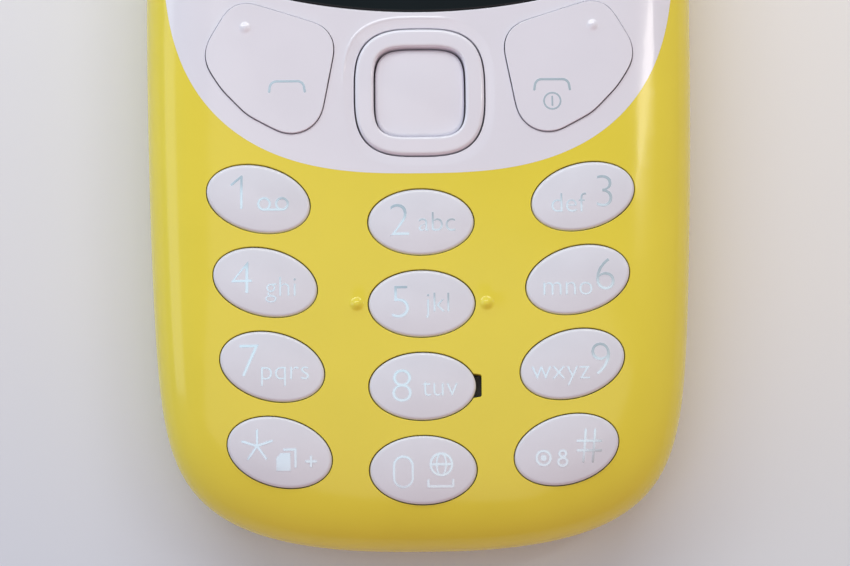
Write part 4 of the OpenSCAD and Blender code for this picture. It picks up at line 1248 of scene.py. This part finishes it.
def nav_keys():
    """Tilting ring and the sunk select key inside it."""
    at = (0, NAV_Y)
    hole = SELECT_W + 2 * TILT_GAP
    inner = squircle(hole, hole, SELECT_POWER, RING_POINTS, at=at)
    b = Builder()
    b.shell(Ball(*at, RING_CROWN_R, RING_PROUD), Level(RING_BASE_Z), ring_plan(0, RING_POINTS),
            [(inner, RING_HOLE_R)], RING_EDGE_R, step=0.3, base_step=1.0)
    place(b.made("nav_ring_cap", [WHITE]), "nav_ring", "white_plastic", "nav_ring")
    b = Builder()
    outer = squircle(SELECT_W, SELECT_W, SELECT_POWER, RING_POINTS, at=at)
    cap = Ball(*at, SELECT_CROWN_R, RING_PROUD - SELECT_SINK)
    b.shell(cap, Level(KEY_BASE_Z), outer, (), SELECT_EDGE_R, step=0.6, base_step=2.0)
    place(b.made("select_key_cap", [WHITE]), "select_key", "white_plastic", "select_key")


front_cover()
microphone_mesh()
upper_fascia()
display_window()
rear_cover()
for key_name, layout in KEYS.items():
    number_key(key_name, *layout)
function_key(-1)
function_key(1)
nav_keys()

# Finishes of the CAD nodes that stay
for part in frame["record"]["subparts"]:
    shown = frame["nodes"][part["node"]]
    if not shown.hide_render:
        shown.data.materials.clear()
        shown.data.materials.append(SLOTS.get(part["material_slot"], WHITE))


# Floor, light and camera

# Painted shade and light tint on the table along each axis, darker and bluer towards the foot of
# the phone, cooler at the left and warmer at the right: first and last place in metres, then the
# colour at shares between
TABLE_PAINTED_SHADE = (
    ("Y", -0.06, 0.0, ((0.0, (0.86, 0.885, 0.935)), (0.45, (0.96, 0.96, 0.965)), (1.0, (1, 1, 1)))),
    ("X", -0.04, 0.04, ((0.0, (0.91, 0.93, 0.98)), (1.0, (1.0, 1.0, 0.985)))),
)
TABLE_COLOUR = (0.87, 0.87, 0.87)
TABLE_HALF = 1.5
TABLE_DROP = 0.04
# Soft light from each side: axis, where it starts and where it is full, and its colour
WORLD_SIDES = (
    ("Y", -0.3, 0.9, (0.34, 0.34, 0.37)),
    ("X", 0.1, -0.9, (0.14, 0.33, 0.42)),
    ("X", -0.1, 0.9, (0.34, 0.36, 0.32)),
    ("Y", 0.2, -0.9, (0.45, 0.15, 0.14)),
)
# Lamps: place, aim and size in metres, power in watts, and colour
LAMPS = {
    "top_light": ((-0.04, 0.24, 0.26), (0, -0.03, 0), (0.5, 0.12), 0.80, (1, 1, 1)),
    "left_light": ((-0.72, 0.12, 0.34), (0, -0.03, 0), (0.5, 0.3), 0.64, (0.9, 0.95, 1.0)),
    "right_strip": ((0.44, 0.17, 0.667), (0.02, -0.016, 0.01), (0.05, 0.2), 0.26, (1, 0.95, 0.9)),
    "ceiling_patch": ((-0.07, -0.18, 0.9), (0, -0.04, 0), (0.86, 0.68), 1.36, (1, 1, 1)),
}
# Camera: its aim and distance in millimetres, and its turns about X, Y and Z in degrees
CAMERA_AIM = (0.31, -34.026, 12.0)
CAMERA_AWAY = 189.1
CAMERA_TURNS = (8.5574, -0.456, -0.6025)
CAMERA_SENSOR = 36
CAMERA_LENS = 89.44


def table_painted_shade(tree, where, tint):
    """Painted shade on the table: darker and bluer towards the foot of the phone, with a painted
    cool light tint at the left.
    """
    link = tree.links.new
    split = tree.nodes.new("ShaderNodeSeparateXYZ")
    link(where.outputs["Object"], split.inputs["Vector"])
    for axis, start, stop, stops in TABLE_PAINTED_SHADE:
        span = node(tree, "ShaderNodeMapRange", From_Min=start, From_Max=stop)
        link(split.outputs[axis], span.inputs["Value"])
        ramp = tree.nodes.new("ShaderNodeValToRGB")
        while len(ramp.color_ramp.elements) < len(stops):
            ramp.color_ramp.elements.new(0.5)
        for element, (at, colour) in zip(ramp.color_ramp.elements, stops):
            element.position = at
            element.color = (*colour, 1)
        link(span.outputs["Result"], ramp.inputs["Fac"])
        mix = tree.nodes.new("ShaderNodeMix")
        mix.data_type, mix.blend_type = "RGBA", "MULTIPLY"
        mix.inputs["Factor"].default_value = 1
        link(tint, mix.inputs["A"])
        link(ramp.outputs["Color"], mix.inputs["B"])
        tint = mix.outputs["Result"]
    return tint


def floor():
    """Pale table under the phone, its colour carrying painted shade and light tint."""
    half, z = TABLE_HALF, -TABLE_DROP * MM
    mesh = bpy.data.meshes.new("floor")
    corners = [(-half, -half, z), (half, -half, z), (half, half, z), (-half, half, z)]
    mesh.from_pydata(corners, [], [(0, 1, 2, 3)])
    # The table's colour carries painted shade towards the phone's foot and a painted cool and warm
    # light tint across it
    table = coating("table", TABLE_COLOUR, 0.5, vary=0.01, grain=40.0, shade=table_painted_shade)
    mesh.materials.append(table)
    linked("floor", mesh)


def softbox(name, at, aim, size, power, colour):
    """Rectangular lamp that faces a point."""
    lamp = bpy.data.lights.new(name, "AREA")
    lamp.shape = "RECTANGLE"
    lamp.size, lamp.size_y = size
    lamp.energy = power
    lamp.color = colour
    obj = linked(name, lamp)
    obj.location = at
    obj.rotation_euler = (Vector(aim) - Vector(at)).to_track_quat("-Z", "Y").to_euler()


def camera():
    """Camera nearly overhead, tipped a little towards the foot of the phone."""
    turn = Euler([math.radians(a) for a in CAMERA_TURNS]).to_matrix()
    at = (Vector(CAMERA_AIM) + turn.col[2] * CAMERA_AWAY) * MM
    lens = bpy.data.cameras.new("camera")
    lens.sensor_width = CAMERA_SENSOR
    lens.lens = CAMERA_LENS
    lens.clip_start, lens.clip_end = 0.01, 20
    obj = linked("camera", lens)
    obj.matrix_world = Matrix.Translation(at) @ turn.to_4x4()
    bpy.context.scene.camera = obj


def studio():
    """World with a soft tone from each side, and the lamps."""
    world = bpy.data.worlds.new("studio")
    bpy.context.scene.world = world
    world.use_nodes = True
    tree = world.node_tree
    link = tree.links.new
    where = tree.nodes.new("ShaderNodeTexCoord")
    split = tree.nodes.new("ShaderNodeSeparateXYZ")
    link(where.outputs["Generated"], split.inputs["Vector"])
    tones = []
    for axis, start, stop, colour in WORLD_SIDES:
        span = node(tree, "ShaderNodeMapRange", From_Min=start, From_Max=stop)
        link(split.outputs[axis], span.inputs["Value"])
        share = tree.nodes.new("ShaderNodeVectorMath")
        share.operation = "SCALE"
        share.inputs[0].default_value = colour
        link(span.outputs["Result"], share.inputs["Scale"])
        tones.append(share.outputs["Vector"])
    total = joined(tree, "ShaderNodeVectorMath", "ADD", tones)
    link(total, tree.nodes["Background"].inputs["Color"])
    for name, values in LAMPS.items():
        softbox(name, *values)


floor()
studio()
camera()
bpy.context.scene.view_settings.view_transform = "Standard"
